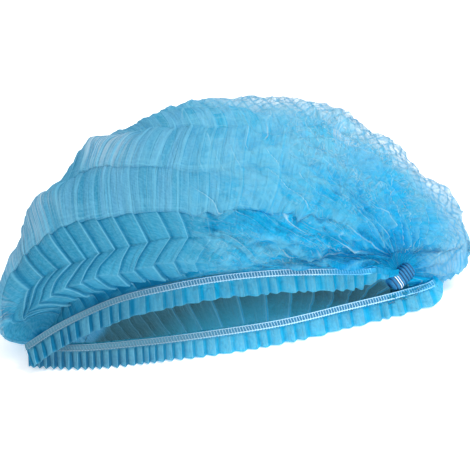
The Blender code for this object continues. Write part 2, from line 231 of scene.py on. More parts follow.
# Long creases on the right half, as lines of points: share of the way, fold.
longCreases = (
    ((.631, 2.52), (.665, 2.40), (.692, 2.48), (.755, 2.04), (.838, 2.12)),
    ((.712, 2.44), (.737, 2.64), (.793, 2.32)), ((.644, 2.80), (.696, 2.76)),
    ((.897, 6.00), (.809, 6.04), (.766, 6.72), (.726, 7.48)),
    ((.928, 8.12), (.883, 7.96), (.84, 7.5)),
    ((.669, 1.80), (.716, 1.00), (.762, .25)), ((.599, 1.84), (.624, 1.48), (.696, .92)),
    ((.867, 4.16), (.940, 4.08)), ((.631, 5.84), (.644, 5.92)), ((.552, 4.36), (.577, 4.12)),
    ((.746, 3.48), (.804, 3.08), (.757, 4.16)), ((.626, 4.52), (.604, 3.96), (.613, 3.76)),
    ((.80, .35), (.87, .75), (.93, 1.1)), ((.82, 1.5), (.88, 1.9), (.93, 2.4)),
    ((.70, 3.3), (.76, 3.2), (.83, 3.4), (.90, 3.9)), ((.74, 4.7), (.82, 4.8), (.90, 5.1)),
    ((.70, 6.1), (.75, 5.7), (.80, 5.3), (.88, 5.4)), ((.79, 8.3), (.86, 9.0), (.92, 10.0)),
    ((.53, 1.5), (.56, 1.7), (.60, 1.55)), ((.51, 3.7), (.55, 3.9), (.60, 3.5), (.64, 3.6)),
)


# Smooth closed line through the rows, a row for each unit of t (Catmull-Rom).
def closedLine(rows, t):
    count = len(rows)
    t = np.asarray(t, float) % count
    i = np.floor(t).astype(int)
    f = (t - i)[..., None]
    a, b, c, d = (rows[(i + k) % count] for k in (-1, 0, 1, 2))
    square = 2 * a - 5 * b + 4 * c - d
    cube = 3 * b - a - 3 * c + d
    return 0.5 * (2 * b + (c - a) * f + square * f**2 + cube * f**3)


# Smooth line through a table whose first column is the share of the way (cubic Hermite).
def tableLine(table, t):
    table = np.array(table, float)
    share, values = table[:, 0], table[:, 1:]
    slope = np.gradient(values, share, axis=0)
    i = np.clip(np.searchsorted(share, t, side="right") - 1, 0, len(share) - 2)
    step = (share[i + 1] - share[i])[..., None]
    f = (np.asarray(t, float) - share[i])[..., None] / step
    start = (2 * f**3 - 3 * f**2 + 1) * values[i] + (f**3 - 2 * f**2 + f) * step * slope[i]
    end = (3 * f**2 - 2 * f**3) * values[i + 1] + (f**3 - f**2) * step * slope[i + 1]
    return start + end


# 0 to 1 with level ends, between low and high.
def smoothStep(x, low=0.0, high=1.0):
    x = np.clip((x - low) / (high - low), 0.0, 1.0)
    return x * x * (3 - 2 * x)


# 1 on the middle value, falling off as a bell of the given width.
def bell(x, middle, width):
    return np.exp(-(((x - middle) / width) ** 2))


# Vectors made one long.
def unit(v):
    return v / np.maximum(np.linalg.norm(v, axis=-1, keepdims=True), 1e-12)


# The folds at mid-length in metres, and each place's angle among them, seen from the core.
profile = np.array(cap["profile"]) * cap["size"][1:]
coreAt = np.array((0.0, cap["core"])) * cap["size"][1:]
fineFold = np.linspace(0, len(profile), 721)
away = (closedLine(profile, fineFold) - coreAt) / cap["size"][1:]
fineAngle = np.unwrap(np.arctan2(away[:, 1], away[:, 0]))


# The crown as a ball drawn round toward the mouth at both ends: a heading on the unit ball is
# pushed toward one fold, and then the tips' line plus the profile, shrunk by the ring, is taken.
def puffedCrown(along, fold):
    angle = np.interp(fold, fineFold, fineAngle)
    run, ring = -np.cos(np.pi * along), np.sin(np.pi * along)
    heading = np.stack([run, ring * np.cos(angle), ring * np.sin(angle)], -1)
    for sign, key in ((-1, "leftDraw"), (1, "rightDraw")):
        far, sharp, toward = cap[key]
        aim = np.interp(toward, fineFold, fineAngle)
        draw = far * np.clip(sign * run, 0, None) ** sharp
        heading = heading + draw[..., None] * np.array((0.0, np.cos(aim), np.sin(aim)))
    heading = unit(heading)
    run = heading[..., 0]
    ring = np.sqrt(np.clip(1 - run**2, 0, 1))
    turned = np.arctan2(heading[..., 2], heading[..., 1])
    back = fineAngle[0] - (fineAngle[0] - turned) % (2 * np.pi)
    outline = closedLine(profile, np.interp(-back, -fineAngle, fineFold))
    tips = np.array((cap["leftTip"], cap["rightTip"])) * cap["size"]
    points = tips[0] + (tips[1] - tips[0]) * ((1 + run) / 2)[..., None]
    right = np.clip(run, 0, 1)[..., None]
    power = cap["pointed"] + right**4 * (1 - right) * np.array(cap["rightPointed"])
    points[..., 1:] += ring[..., None] ** power * (outline - tips[:, 1:].mean(0))
    return points


# The middle of a rim's elastic, and the direction in which its ruffle hangs.
def rimFrame(rim, along):
    values = tableLine(rim["line"], along)
    lean, turn = np.radians(values[..., 3]), np.radians(values[..., 4])
    hang = np.stack([np.sin(lean) * np.sin(turn), -np.sin(lean) * np.cos(turn), -np.cos(lean)], -1)
    return values[..., :3] * cap["size"], hang


# How far a rim's right end comes forward, over the gather.
def comeForward(rim, along):
    return rim["cover"] * smoothStep(along, 0.90, 0.985)


# The direction of an elastic's width, from the crown toward the ruffle.
def bandAcross(rim, hang):
    lean = cap["bandLean"] if rim["side"] > 0 else 1.0
    return unit(hang * np.array((lean, lean, 1.0)))


# The puffed crown, run smoothly into both rims and both gathers.
def crownPoint(along, fold):
    along, fold = np.broadcast_arrays(np.asarray(along, float), np.asarray(fold, float))
    points = puffedCrown(along, fold)
    blend = 1 + (cap["rimBlend"] - 1) * smoothStep(np.sin(np.pi * along) / cap["endBlend"])
    upper = smoothStep(1 - fold / blend)[..., None]
    lower = smoothStep(1 - (cap["folds"] - fold) / blend)[..., None]
    for rim, place, share in ((upperRim, 0.0, upper), (lowerRim, cap["folds"], lower)):
        middle, hang = rimFrame(rim, along)
        edge = middle - bandAcross(rim, hang) * cap["bandWidth"] / 2
        points = points + (edge - puffedCrown(along, np.full_like(along, place))) * share
    rest = (1 - upper) * (1 - lower)
    for key, end in (("leftGather", 0.0), ("rightGather", 1.0)):
        near = np.clip(1 - np.abs(along - end) / cap["gatherSpan"], 0, 1)[..., None]
        miss = np.array(cap[key]) * cap["size"] - puffedCrown(np.array(end), np.array(0.0))
        points = points + miss * near**2 * rest
    return points


# Flattens what would go under the floor, with a soft edge round the flat.
def aboveFloor(points):
    z, soft = points[..., 2], cap["floorBlend"]
    eased = (z + soft) ** 2 / (4 * soft)
    points[..., 2] = np.where(z > soft, z, np.where(z < -soft, 0.0, eased))
    return points


# Random values on a lattice, blended smoothly between its corners: a soft noise from -1 to 1.
def softNoise(x, y, seed):
    table = np.random.default_rng(seed).uniform(-1, 1, (256, 256))
    i, j = np.floor(x).astype(int), np.floor(y).astype(int)
    fx, fy = x - i, y - j
    fx, fy = fx * fx * (3 - 2 * fx), fy * fy * (3 - 2 * fy)
    a, b = table[i % 256, j % 256], table[(i + 1) % 256, j % 256]
    c, d = table[i % 256, (j + 1) % 256], table[(i + 1) % 256, (j + 1) % 256]
    return (a * (1 - fx) + b * fx) * (1 - fy) + (c * (1 - fx) + d * fx) * fy


# Sharp ridges between soft hollows: 1 on a ridge, 0 in a hollow, summed over finer octaves.
def ridges(x, y, seed, octaves=3):
    total, weight = 0.0, 0.0
    for k in range(octaves):
        scale, share = 2.0**k, 0.55**k
        turned = x * math.cos(k) - y * math.sin(k), x * math.sin(k) + y * math.cos(k)
        value = 1 - np.abs(softNoise(turned[0] * scale + 7.3 * k, turned[1] * scale, seed + k))
        total, weight = total + share * value**2, weight + share
    return total / weight


# Triangle wave from 0 to 1 and back, once for each unit of t.
def triangle(t):
    return 1 - 2 * np.abs(t - np.floor(t) - 0.5)


# Crumpled cloth: triangle waves that run in many directions, each bent by a soft noise, so
# flat facets meet in sharp creases. Gives the height, how near a point is to a crest, and a
# tone that jumps from facet to facet. With square set, the waves run along x or along y.
def crumpled(x, y, seed, turns=8, finest=0.25, square=False):
    chance = np.random.default_rng(seed)
    height, weight, crest, tone = 0.0, 0.0, 0.0, 0.0
    for k in range(turns):
        turn, scale = chance.uniform(0, np.pi), finest ** (-k / (turns - 1))
        if square:
            turn = (k % 2) * np.pi / 2 + chance.uniform(-0.22, 0.22)
        bend = 0.42 * softNoise(x * 0.6 + 5 * k, y * 0.6 - 3 * k, seed + k)
        phase = (x * math.cos(turn) + y * math.sin(turn)) * scale * 0.5 + bend
        wave, share = triangle(phase), 1 / scale
        height, weight = height + wave * share, weight + share
        tone = tone + share * chance.uniform(-1, 1, 256)[np.floor(phase * 2).astype(int) % 256]
        strong = np.clip(0.35 + 0.9 * softNoise(x * 0.8, y * 0.8, seed + 50 + k), 0, 1)
        crest = np.maximum(crest, smoothStep(wave, 0.86, 1.0) * strong)
    return height / weight, crest, 2.5 * tone / weight


# Slow rise and sudden fall, once for each unit of t.
def saw(t, fall=0.12):
    s = t - np.floor(t)
    return np.where(s < 1 - fall, s / (1 - fall), (1 - s) / fall)


# Sum of bells at the rows of a table of places.
def bellsAt(rows, along, fold):
    total = 0.0
    for a, f, long, wide, strength in rows:
        total = total + strength * np.exp(-(((along - a) / long) ** 2) - ((fold - f) / wide) ** 2)
    return total


# Distance to the nearest of many bent lines on the cloth laid flat, in metres.
def distanceToLines(lines, along, fold):
    long, wide = pleats["flatScale"]
    x, y = along * long, fold * wide
    best = np.full(x.shape, 1.0)
    for line in lines:
        for (a, f), (b, g) in zip(line, line[1:]):
            startX, startY, stepX, stepY = a * long, f * wide, (b - a) * long, (g - f) * wide
            t = ((x - startX) * stepX + (y - startY) * stepY) / (stepX**2 + stepY**2)
            t = np.clip(t, 0, 1)
            best = np.minimum(best, np.hypot(x - startX - t * stepX, y - startY - t * stepY))
    return best


# A wave that is a plain sine at sharp 0 and, at sharp 1, a knife pleat that leans one way.
def ruffleWave(t, sharp):
    s = t - np.floor(t)
    pleat = np.where(s < 0.72, s / 0.72, (1 - s) / 0.28) * 2 - 1
    return -np.cos(2 * np.pi * t) * (1 - sharp) + pleat * sharp


# Unit normals of a grid of points, facing out of the crown.
def outward(points):
    return unit(np.cross(np.gradient(points, axis=0), np.gradient(points, axis=1)))


# Quads between the points of a grid; closed joins its last column to its first.
def faceGrid(rows, columns, closed=False):
    last = columns if closed else columns - 1
    i, j = np.meshgrid(np.arange(rows - 1), np.arange(last), indexing="ij")
    here, beside = i * columns + j, i * columns + (j + 1) % columns
    return np.stack([here, here + columns, beside + columns, beside], -1).reshape(-1, 4)


# A named mesh from points and quads (and caps, which are any other polygons).
def makeMesh(name, points, quads, material, caps=()):
    mesh = bpy.data.meshes.new(name)
    if len(caps):
        mesh.from_pydata(points.reshape(-1, 3).tolist(), [], quads.tolist() + list(caps))
    else:
        flat = points.reshape(-1, 3).astype(np.float32)
        mesh.vertices.add(len(flat))
        mesh.vertices.foreach_set("co", flat.ravel())
        mesh.loops.add(quads.size)
        mesh.loops.foreach_set("vertex_index", quads.ravel().astype(np.int32))
        mesh.polygons.add(len(quads))
        mesh.polygons.foreach_set("loop_start", np.arange(0, quads.size, 4, dtype=np.int32))
        mesh.update(calc_edges=True)
    mesh.validate()
    mesh.shade_smooth()
    mesh.materials.append(material)
    obj = bpy.data.objects.new(name, mesh)
    bpy.context.scene.collection.objects.link(obj)
    return obj


# One value a point, or four, kept on the mesh under a name that its material reads.
def keepValues(obj, name, values):
    values = np.asarray(values, np.float32)
    kind = "FLOAT" if values.ndim == 1 else "FLOAT_COLOR"
    attribute = obj.data.attributes.new(name, kind, "POINT")
    attribute.data.foreach_set("value" if values.ndim == 1 else "color", values.ravel())


# A UV map from the two values of each point.
def keepUv(obj, name, across, along):
    layer = obj.data.uv_layers.new(name=name)
    corner = np.empty(len(obj.data.loops), np.int32)
    obj.data.loops.foreach_get("vertex_index", corner)
    uv = np.stack([across.ravel()[corner], along.ravel()[corner]], -1).astype(np.float32)
    layer.data.foreach_set("uv", uv.ravel())


# The columns of the crown, more of them where the cap faces the viewer.
def foldSteps():
    stops = [start for start, _ in pleats["stepsPerFold"]] + [cap["folds"]]
    parts = []
    for (start, count), end in zip(pleats["stepsPerFold"], stops[1:]):
        parts.append(np.linspace(start, end, (end - start) * count, endpoint=False))
    return np.concatenate(parts + [[cap["folds"]]])


# Straight between the values at long folds 0 to 5 and at the lower rim.
def betweenFolds(values, g):
    levels = (0, 1, 2, 3, 4, 5, cap["folds"])
    out = np.zeros(g.shape)
    for k, (low, high) in enumerate(zip(levels, levels[1:])):
        share = np.clip((g - low) / (high - low), 0, 1)
        inside = (g >= low) & ((g < high) | (high == cap["folds"]))
        out = np.where(inside, values[k] * (1 - share) + values[k + 1] * share, out)
    return out


# How far each point of a grid or line lies along one of its ways, in metres.
def wayAlong(points, axis=0):
    steps = np.linalg.norm(np.diff(points, axis=axis), axis=-1)
    return np.concatenate([0 * steps.take([0], axis), np.cumsum(steps, axis=axis)], axis=axis)


# The grid of the crown: its rows are creases n and its columns long folds g. It holds each
# point's share of the way along, its place among the cap's own folds, the smooth crown there
# with its normal and its way down the folds, and how far it lies along and around, in metres.
def crownGrid():
    first, last = pleats["creases"][0][0], pleats["creases"][-1][0]
    creases = np.linspace(first, last, (last - first) * pleats["stepsPerCrease"] + 1)
    n, g = np.meshgrid(creases, foldSteps(), indexing="ij")
    along = betweenFolds(np.moveaxis(tableLine(pleats["creases"], n), -1, 0), g)
    inner = np.moveaxis(tableLine(pleats["longFolds"], along), -1, 0)
    fold = betweenFolds([0.0, *inner, cap["folds"]], g)
    drift = np.interp(along, *np.array(cap["drift"]).T)
    room = np.minimum(1, fold / cap["driftEase"][0])
    room = room * np.minimum(1, (cap["folds"] - fold) / cap["driftEase"][1])
    place = np.clip(fold + drift * room, 0, cap["folds"])
    points = crownPoint(along, place)
    number = np.clip(np.floor(n).astype(int) - first, 0, last - first)
    band = np.clip(g.astype(int), 0, 15)
    heights = np.random.default_rng(11).uniform(0.6, 1.3, (last - first + 1, 16))
    return SimpleNamespace(
        n=n, g=g, along=along, fold=fold, place=place, band=band,
        points=points, normal=outward(points), toward=unit(np.gradient(points, axis=1)),
        run=wayAlong(points, 0), around=wayAlong(points, 1),
        inFold=g - np.floor(g), inCrease=n - np.floor(n),
        height=heights[number, band],                                  # each crease has its own
        teeth=saw(n),
        tooth=triangle(n * 0.75 + 0.3 * np.sin(n * 2.1)),              # jagged ends of the pleats
        wander=1 + 0.5 * softNoise(n * 0.9, np.floor(g) * 5.1, 7),     # how uneven a long fold is
        begun=smoothStep(n, -1.2, 0.6),
    )


# Where each kind of pleat shows, from 0 to 1, by shares of the way along and by long folds.
def pleatZones(at):
    along, g = at.along, at.g
    gather = np.array(cap["rightGather"]) * cap["size"]
    outer = 1 - smoothStep(g, 10.5, 11.5) * (1 - smoothStep(g, 14.2, 15.2))
    return SimpleNamespace(
        left=1 - smoothStep(along, 0.38, 0.54),        # herringbone
        right=smoothStep(along, 0.36, 0.58),           # strong colour
        free=smoothStep(along, 0.46, 0.64),            # crumpled in all directions
        tiers=1 - smoothStep(along, 0.50, 0.68),       # upright pleats, row over row
        boxy=smoothStep(along, 0.36, 0.50) * (1 - smoothStep(along, 0.56, 0.70)),
        ends=smoothStep(along, 0.04, 0.16) * smoothStep(1 - along, 0.06, 0.16),
        near=1 - smoothStep(np.linalg.norm(at.points - gather, axis=-1), 0.022, 0.085),
        front=1 - smoothStep(g, 3.0, 3.06),
        over=smoothStep(g, 3.0, 3.06) * (1 - smoothStep(g, 10.0, 11.5)),
        above=smoothStep(g, 2.0, 2.2) * outer,
        outer=outer, under=1 - outer,                  # off the floor, and on it
        inner=smoothStep(g, 14.0, 15.0),               # inside the mouth
        seam=smoothStep(g, 0, 0.22) * smoothStep(cap["folds"] - g, 0, 0.22),
    )


# Long folds: the first two bands rise to one crest, and the others puff out between valleys and
# hang over the valley below them. Gives the lift along the normals and the hang down the folds.
def longFolds(at, zone):
    g, along = at.g, at.along
    tent = np.clip(1 - np.abs(g - 1), 0, 1) ** 0.8 * (g < 2)
    pillow = np.abs(np.sin(np.pi * g)) ** 0.65 * (g >= 2) * smoothStep((cap["folds"] - g) / 2)
    swell = 0.7 + 0.3 * softNoise(at.n * 0.35, np.floor(g) * 3.7, 5)
    rows = (pleats["tent"] * tent + pleats["bulge"] * pillow * swell) * np.sin(np.pi * along) ** 0.6
    loose = zone.free * zone.outer
    lift = rows * (1 - 0.8 * loose) + pleats["looseLift"] * loose
    middle = smoothStep(along, 0.36, 0.50) * (1 - smoothStep(along, 0.60, 0.70))
    jagged = smoothStep(along, 0.34, 0.48)
    hang = pleats["lip"] * bell(at.inFold, 0.10, 0.11) * zone.above * (g >= 2.5) * zone.ends
    hang = hang * np.maximum(1 - zone.free, middle) * (1 + jagged * (2.6 * at.tooth - 0.8))
    hang = hang * (1 - 0.9 * jagged * smoothStep(g, 3.4, 3.7))
    return lift, hang * at.wander


# Creases across the long folds, with fine crinkles, and streaks along the upper tiers.
def creaseLift(at, zone):
    n, g, band = at.n, at.g, at.band
    shown = zone.front * zone.left + zone.inner + 0.42 * zone.over * zone.tiers
    crossing = at.teeth * at.height * shown * at.begun
    fine = ridges(n * 1.8, g * 0.5, 21, 3)
    at.streak = ridges(n * 2.2 + 3.1 * band + 0.6 * at.inFold, g * 0.22 + 17 * band, 31, 3)
    lift = (pleats["creaseDepth"] * crossing + pleats["crinkleDepth"] * (fine - 0.5)) * zone.ends
    streaked = 2.2 * (at.streak - 0.5) * zone.over * (1 - 0.4 * zone.right)
    return (lift + pleats["crinkleDepth"] * streaked) * zone.seam


# Sum of soft noises over the cloth, with a row for each: its size along and around in metres,
# and its strength.
def waver(at, seed, *rows):
    return sum(
        share * softNoise(at.run / long, at.around / wide, seed + k)
        for k, (long, wide, share) in enumerate(rows)
    )


# Crumples of the middle and the right, and sudden folds (saw) that run out from the right
# gather, crossed by others; the cross numbers and the fan numbers are kept for the material.
def crumpleLift(at, zone):
    run, around, near, free = at.run, at.around, zone.near, zone.free
    boxed, at.boxCrest, at.boxTone = crumpled(run / 0.012, around / 0.016, 91, square=True)
    at.rough, at.crest, at.tone = crumpled(run / 0.011, around / 0.011, 81)
    warp = waver(at, 101, (0.030, 0.034, 1.0), (0.013, 0.015, 0.5))
    bent = waver(at, 103, (0.028, 0.022, 1.1), (0.012, 0.011, 0.5))
    at.fan = 2.2 * at.place + (0.20 + 0.95 * (1 - near)) * warp * free
    at.cross = run / 0.0115 + bent * (0.12 + 0.9 * free)
    fanShare = softNoise(run / 0.016, np.floor(at.fan) * 3.3, 105)
    fanShare = np.clip(0.60 + 0.9 * fanShare, 0, 1.2)
    crossShare = softNoise(np.floor(at.cross) * 2.7, around / 0.014, 106)
    crossShare = np.clip(0.45 + 0.9 * crossShare, 0, 1.2)
    shown = zone.seam * zone.outer
    at.fanShare = fanShare * np.maximum(free, 0.35 * zone.boxy) * shown
    at.crossShare = crossShare * np.maximum(free, 0.9 * zone.boxy) * shown * (1 - 0.7 * near)
    fall = pleats["foldFall"]
    fan = pleats["fanDepth"] * (saw(at.fan, fall) - 0.5) * at.fanShare * (1 + 0.4 * near)
    cross = pleats["crossDepth"] * (saw(at.cross, fall) - 0.5) * at.crossShare
    boxes = pleats["boxDepth"] * (boxed - 0.5) * zone.boxy
    lumps = pleats["crumpleDepth"] * (at.rough - 0.5) * free * (1 - 0.7 * near)
    return fan + cross + (boxes + lumps) * shown


# Pools and puffs with ragged edges, long creases, and the dents and puffs of the outline.
def poolLift(at, zone):
    along, place = at.along, at.place
    ragged = waver(at, 111, (0.006, 0.006, 0.5), (0.014, 0.013, 0.7))
    torn = waver(at, 113, (0.007, 0.005, 0.5), (0.015, 0.012, 0.7))
    pool = bellsAt(deepPools, along + 0.016 * ragged * zone.free, place + 0.34 * torn)
    puff = bellsAt(puffs, along + 0.014 * torn * zone.free, place - 0.30 * ragged)
    at.pool, at.puff = smoothStep(pool, 0.30, 0.62), smoothStep(puff, 0.38, 0.62)
    at.line = distanceToLines(longCreases, along, place)
    crease = pleats["longCreaseDepth"] * np.exp(-at.line / 0.0022)
    crease = crease - 0.0008 * bell(at.line, 0.005, 0.003)
    lift = pleats["puffDepth"] * at.puff - pleats["poolDepth"] * at.pool + crease * zone.outer
    return lift * zone.seam + pleats["outlineDepth"] * bellsAt(outlinePuffs, along, place)


# How light each point is as an edge: crests of the creases and streaks at the left, and at the
# right the facets and crests of the crumples. Partly doubled cloth and random facet tone, partly
# painted highlight on crests, long creases and puffs.
def edgeHighlightMark(at, zone):
    hit, free = at.inCrease, zone.free
    edgeLine = bell(hit, 0.90, 0.030) + 0.30 * bell(hit, 0.45, 0.025) + 0.25 * bell(hit, 0.70, 0.02)
    edge = 0.35 * edgeLine * at.creased + 0.5 * bell(at.g, 1.0, 0.04) * zone.left
    edge = edge + 0.55 * smoothStep(at.streak, 0.62, 0.85) * zone.over * (1 - 0.6 * free)
    boxes = zone.boxy * (0.55 * at.boxCrest + 0.9 * np.clip(at.boxTone, 0, 1))
    facets = free * (0.55 * at.crest + 0.55 * np.clip(at.tone, 0, 1)) * (1 - 0.8 * zone.near)
    edge = edge + (boxes + facets) * zone.outer + 0.9 * np.exp(-at.line / 0.0012)
    edge = edge + 0.50 * at.puff * (0.5 + 0.5 * at.crest) * (1 - 0.6 * at.pool)
    edge = edge * (1 - 0.8 * smoothStep(at.along, 0.90, 0.94) * zone.outer)
    return np.clip(edge * (1 - 0.6 * at.ended), 0, 1)


# How deep each point lies in the cloth: pools, the bundle's surroundings, and valleys. The deep
# colour laid there is painted shade at the left and the stronger colour of folded cloth at the
# right.
def deepShadeMark(at, zone):
    g, s, along, left, right = at.g, at.inFold, at.along, zone.left, zone.right
    low = 1 - smoothStep(g, 3.0, 6.0)
    deep = at.pool + zone.near * right * (0.85 - 0.55 * saw(at.fan, pleats["foldFall"]))
    deep = deep + 0.8 * smoothStep(along, 0.90, 0.94) + 0.75 * at.ended
    deep = deep + 0.75 * bell(at.inCrease, 0.02, 0.10) * zone.front * left * zone.seam * at.begun
    valley = 0.7 * (bell(s, 0.97, 0.05) + bell(s, 0.0, 0.03)) * zone.above * (g > 2.5)
    deep = deep + valley * (1 - 0.9 * zone.free) * (1 - 0.85 * smoothStep(along, 0.32, 0.44))
    deep = deep + (1 - smoothStep(g, 0.05, 0.5)) * (0.3 + 0.6 * (1 - at.teeth)) * left
    deep = deep + 0.9 * np.clip(-at.tone, 0, 1) * zone.free * (0.3 + 0.7 * low)
    deep = deep + (0.5 * right * (1 - at.rough) + 0.25 * zone.free) * low
    return np.clip(deep * (1 - 0.9 * zone.under), 0, 1)


# What the material reads at each point. Masks: deep (painted shade at the left), edge (partly
# painted highlight), sheer, right half. Traces: lines of the long folds, glints, pale tiers, knife
# pleats. Crumples: folds from the gather, folds across them, inside of the cap, crumples of the
# middle. Loose: free of the pleating.
def crownMarks(at, zone):
    g, s, along, place, free = at.g, at.inFold, at.along, at.place, zone.free
    pleated = zone.front * zone.left + 0.75 * zone.over * zone.tiers
    at.creased = at.height * zone.seam * pleated * at.begun + 0.9 * zone.inner + 0.8 * zone.under
    # pleat ends at mid-length point down over the second band
    below = smoothStep(3.0 - g - 0.42 * at.tooth, 0.0, 0.07) * smoothStep(g, 2.1, 2.35) * (g < 3)
    at.ended = below * smoothStep(along, 0.40, 0.47) * (1 - smoothStep(along, 0.58, 0.66))
    crest = tableLine(pleats["sheerCrest"], along)[..., 0]
    sheer = 1.15 * bell(at.fold, crest, 0.8) * zone.ends * smoothStep(along, 0.45, 0.60)
    sheer = np.clip(sheer * (1 - 0.40 * smoothStep(along, 0.68, 0.74)), 0, 1)
    foldLine = (bell(s, 0.07, 0.07) + 0.5 * bell(s, 0.22, 0.05)) * zone.above * (g > 2.5)
    foldLine = np.clip(foldLine * (1 - 0.9 * free) * at.wander * zone.seam, 0, 1)
    glint = np.clip(bellsAt(glints, along, place), 0, 1)
    pale = zone.over * ((1 - free) + 1.5 * free * smoothStep(place, 3.0, 5.0))
    patchy = smoothStep(waver(at, 107, (0.010, 0.010, 1.0)), -0.15, 0.45)
    dense = smoothStep(waver(at, 108, (0.020, 0.018, 1.0)), -0.35, 0.35)
    inside = zone.inner + zone.under + (1 - smoothStep(along, 0.14, 0.24)) * smoothStep(g, 9.5, 11)
    inside = np.clip(inside, 0, 1)
    loose = np.maximum(free, 0.45 * zone.boxy) * (1 - inside) * (0.20 + 0.80 * dense)
    loose = loose * (1 - 0.5 * zone.near) * (1 - 0.8 * zone.over * zone.tiers)
    fanLine = at.fanShare * (0.12 * patchy + 0.88 * smoothStep(zone.near, 0.10, 0.60))
    knife = np.clip(at.creased, 0, 1.3)
    middle = zone.boxy * zone.outer
    return {
        "pleatMasks": np.stack([deepShadeMark(at, zone), edgeHighlightMark(at, zone), sheer, zone.right], -1),
        "pleatTraces": np.stack([foldLine, glint, np.clip(pale, 0, 1), knife], -1),
        "crumpleMarks": np.stack([fanLine, at.crossShare * patchy, inside, middle], -1),
        "looseCloth": loose,
    }


# A grid with its first and last row repeated, for the cloth that is drawn shut at both ends.
def withEnds(grid):
    count = len(cap["shut"])
    return np.concatenate([np.repeat(grid[:1], count, 0), grid, np.repeat(grid[-1:], count, 0)])


# Draws the repeated rows in, toward the middle of each end, where the gathers are.
def drawnShut(points):
    shares = np.array(cap["shut"])
    count = len(shares)
    points = withEnds(points)
    for rows, key in ((points[:count], "leftShut"), (points[-count:][::-1], "rightShut")):
        middle = rows[-1].mean(0) + np.array(cap[key])
        rows[:] = middle + (rows - middle) * shares[:, None, None]
    return points


# The crown: the smooth crown plus the lift of all its folds along the normals, less their hang
# down the folds, laid on the floor and drawn shut. Gives its points, marks and maps.
def crownSurface():
    at = crownGrid()
    zone = pleatZones(at)
    g, along = at.g, at.along
    lift, hang = longFolds(at, zone)
    lift = lift + creaseLift(at, zone) + crumpleLift(at, zone) + poolLift(at, zone)
    lift = lift * (0.15 + 0.85 * smoothStep(1 - along, 1 - cap["alongEnd"], 0.095))
    # the cloth puffs over the upper elastic, right of the middle
    cover = smoothStep(along, 0.60, 0.70) * (1 - smoothStep(along, 0.86, 0.92))
    cover = cover * bell(g, 0.42, 0.30) * (0.75 + 0.45 * softNoise(at.run / 0.010, g * 0.5, 17))
    lift = lift - pleats["inset"] * zone.outer + pleats["coverLift"] * cover
    hang = hang + pleats["coverDepth"] * cover
    points = at.points + at.normal * lift[..., None] - at.toward * hang[..., None]
    points[..., 1] -= comeForward(upperRim, along) * (1 - smoothStep(g, 0.0, 1.2))
    points = aboveFloor(points)
    # the cloth that rests on the floor still shows its creases on the inside
    flat = 1 - smoothStep(points[..., 2], 0.001, 0.006)
    points[..., 2] += (0.0004 + 0.0011 * at.teeth * zone.under) * flat
    marks = {label: withEnds(values) for label, values in crownMarks(at, zone).items()}
    # the rows drawn shut at both ends take the full deep colour and no light edge: painted shade in
    # the left gather, the strong colour at the right
    count = len(cap["shut"])
    for rows in (slice(0, count), slice(-count, None)):
        marks["pleatMasks"][rows, :, :2] = 1.0, 0.0
    maps = {
        "clothUv": (at.run, at.around),
        "pleatUv": (at.n, at.g),
        "crumpleUv": (at.fan, at.cross),
    }
    maps = {label: [withEnds(part) for part in pair] for label, pair in maps.items()}
    return drawnShut(points), marks, maps


# steps: rows of faces from band to hem, and shares of the band that the cloth goes under it
ruffles = {"steps": 13, "strip": (-0.36, -0.18), "rows": 1150, "slant": 0.0016, "crinkle": 0.0005}


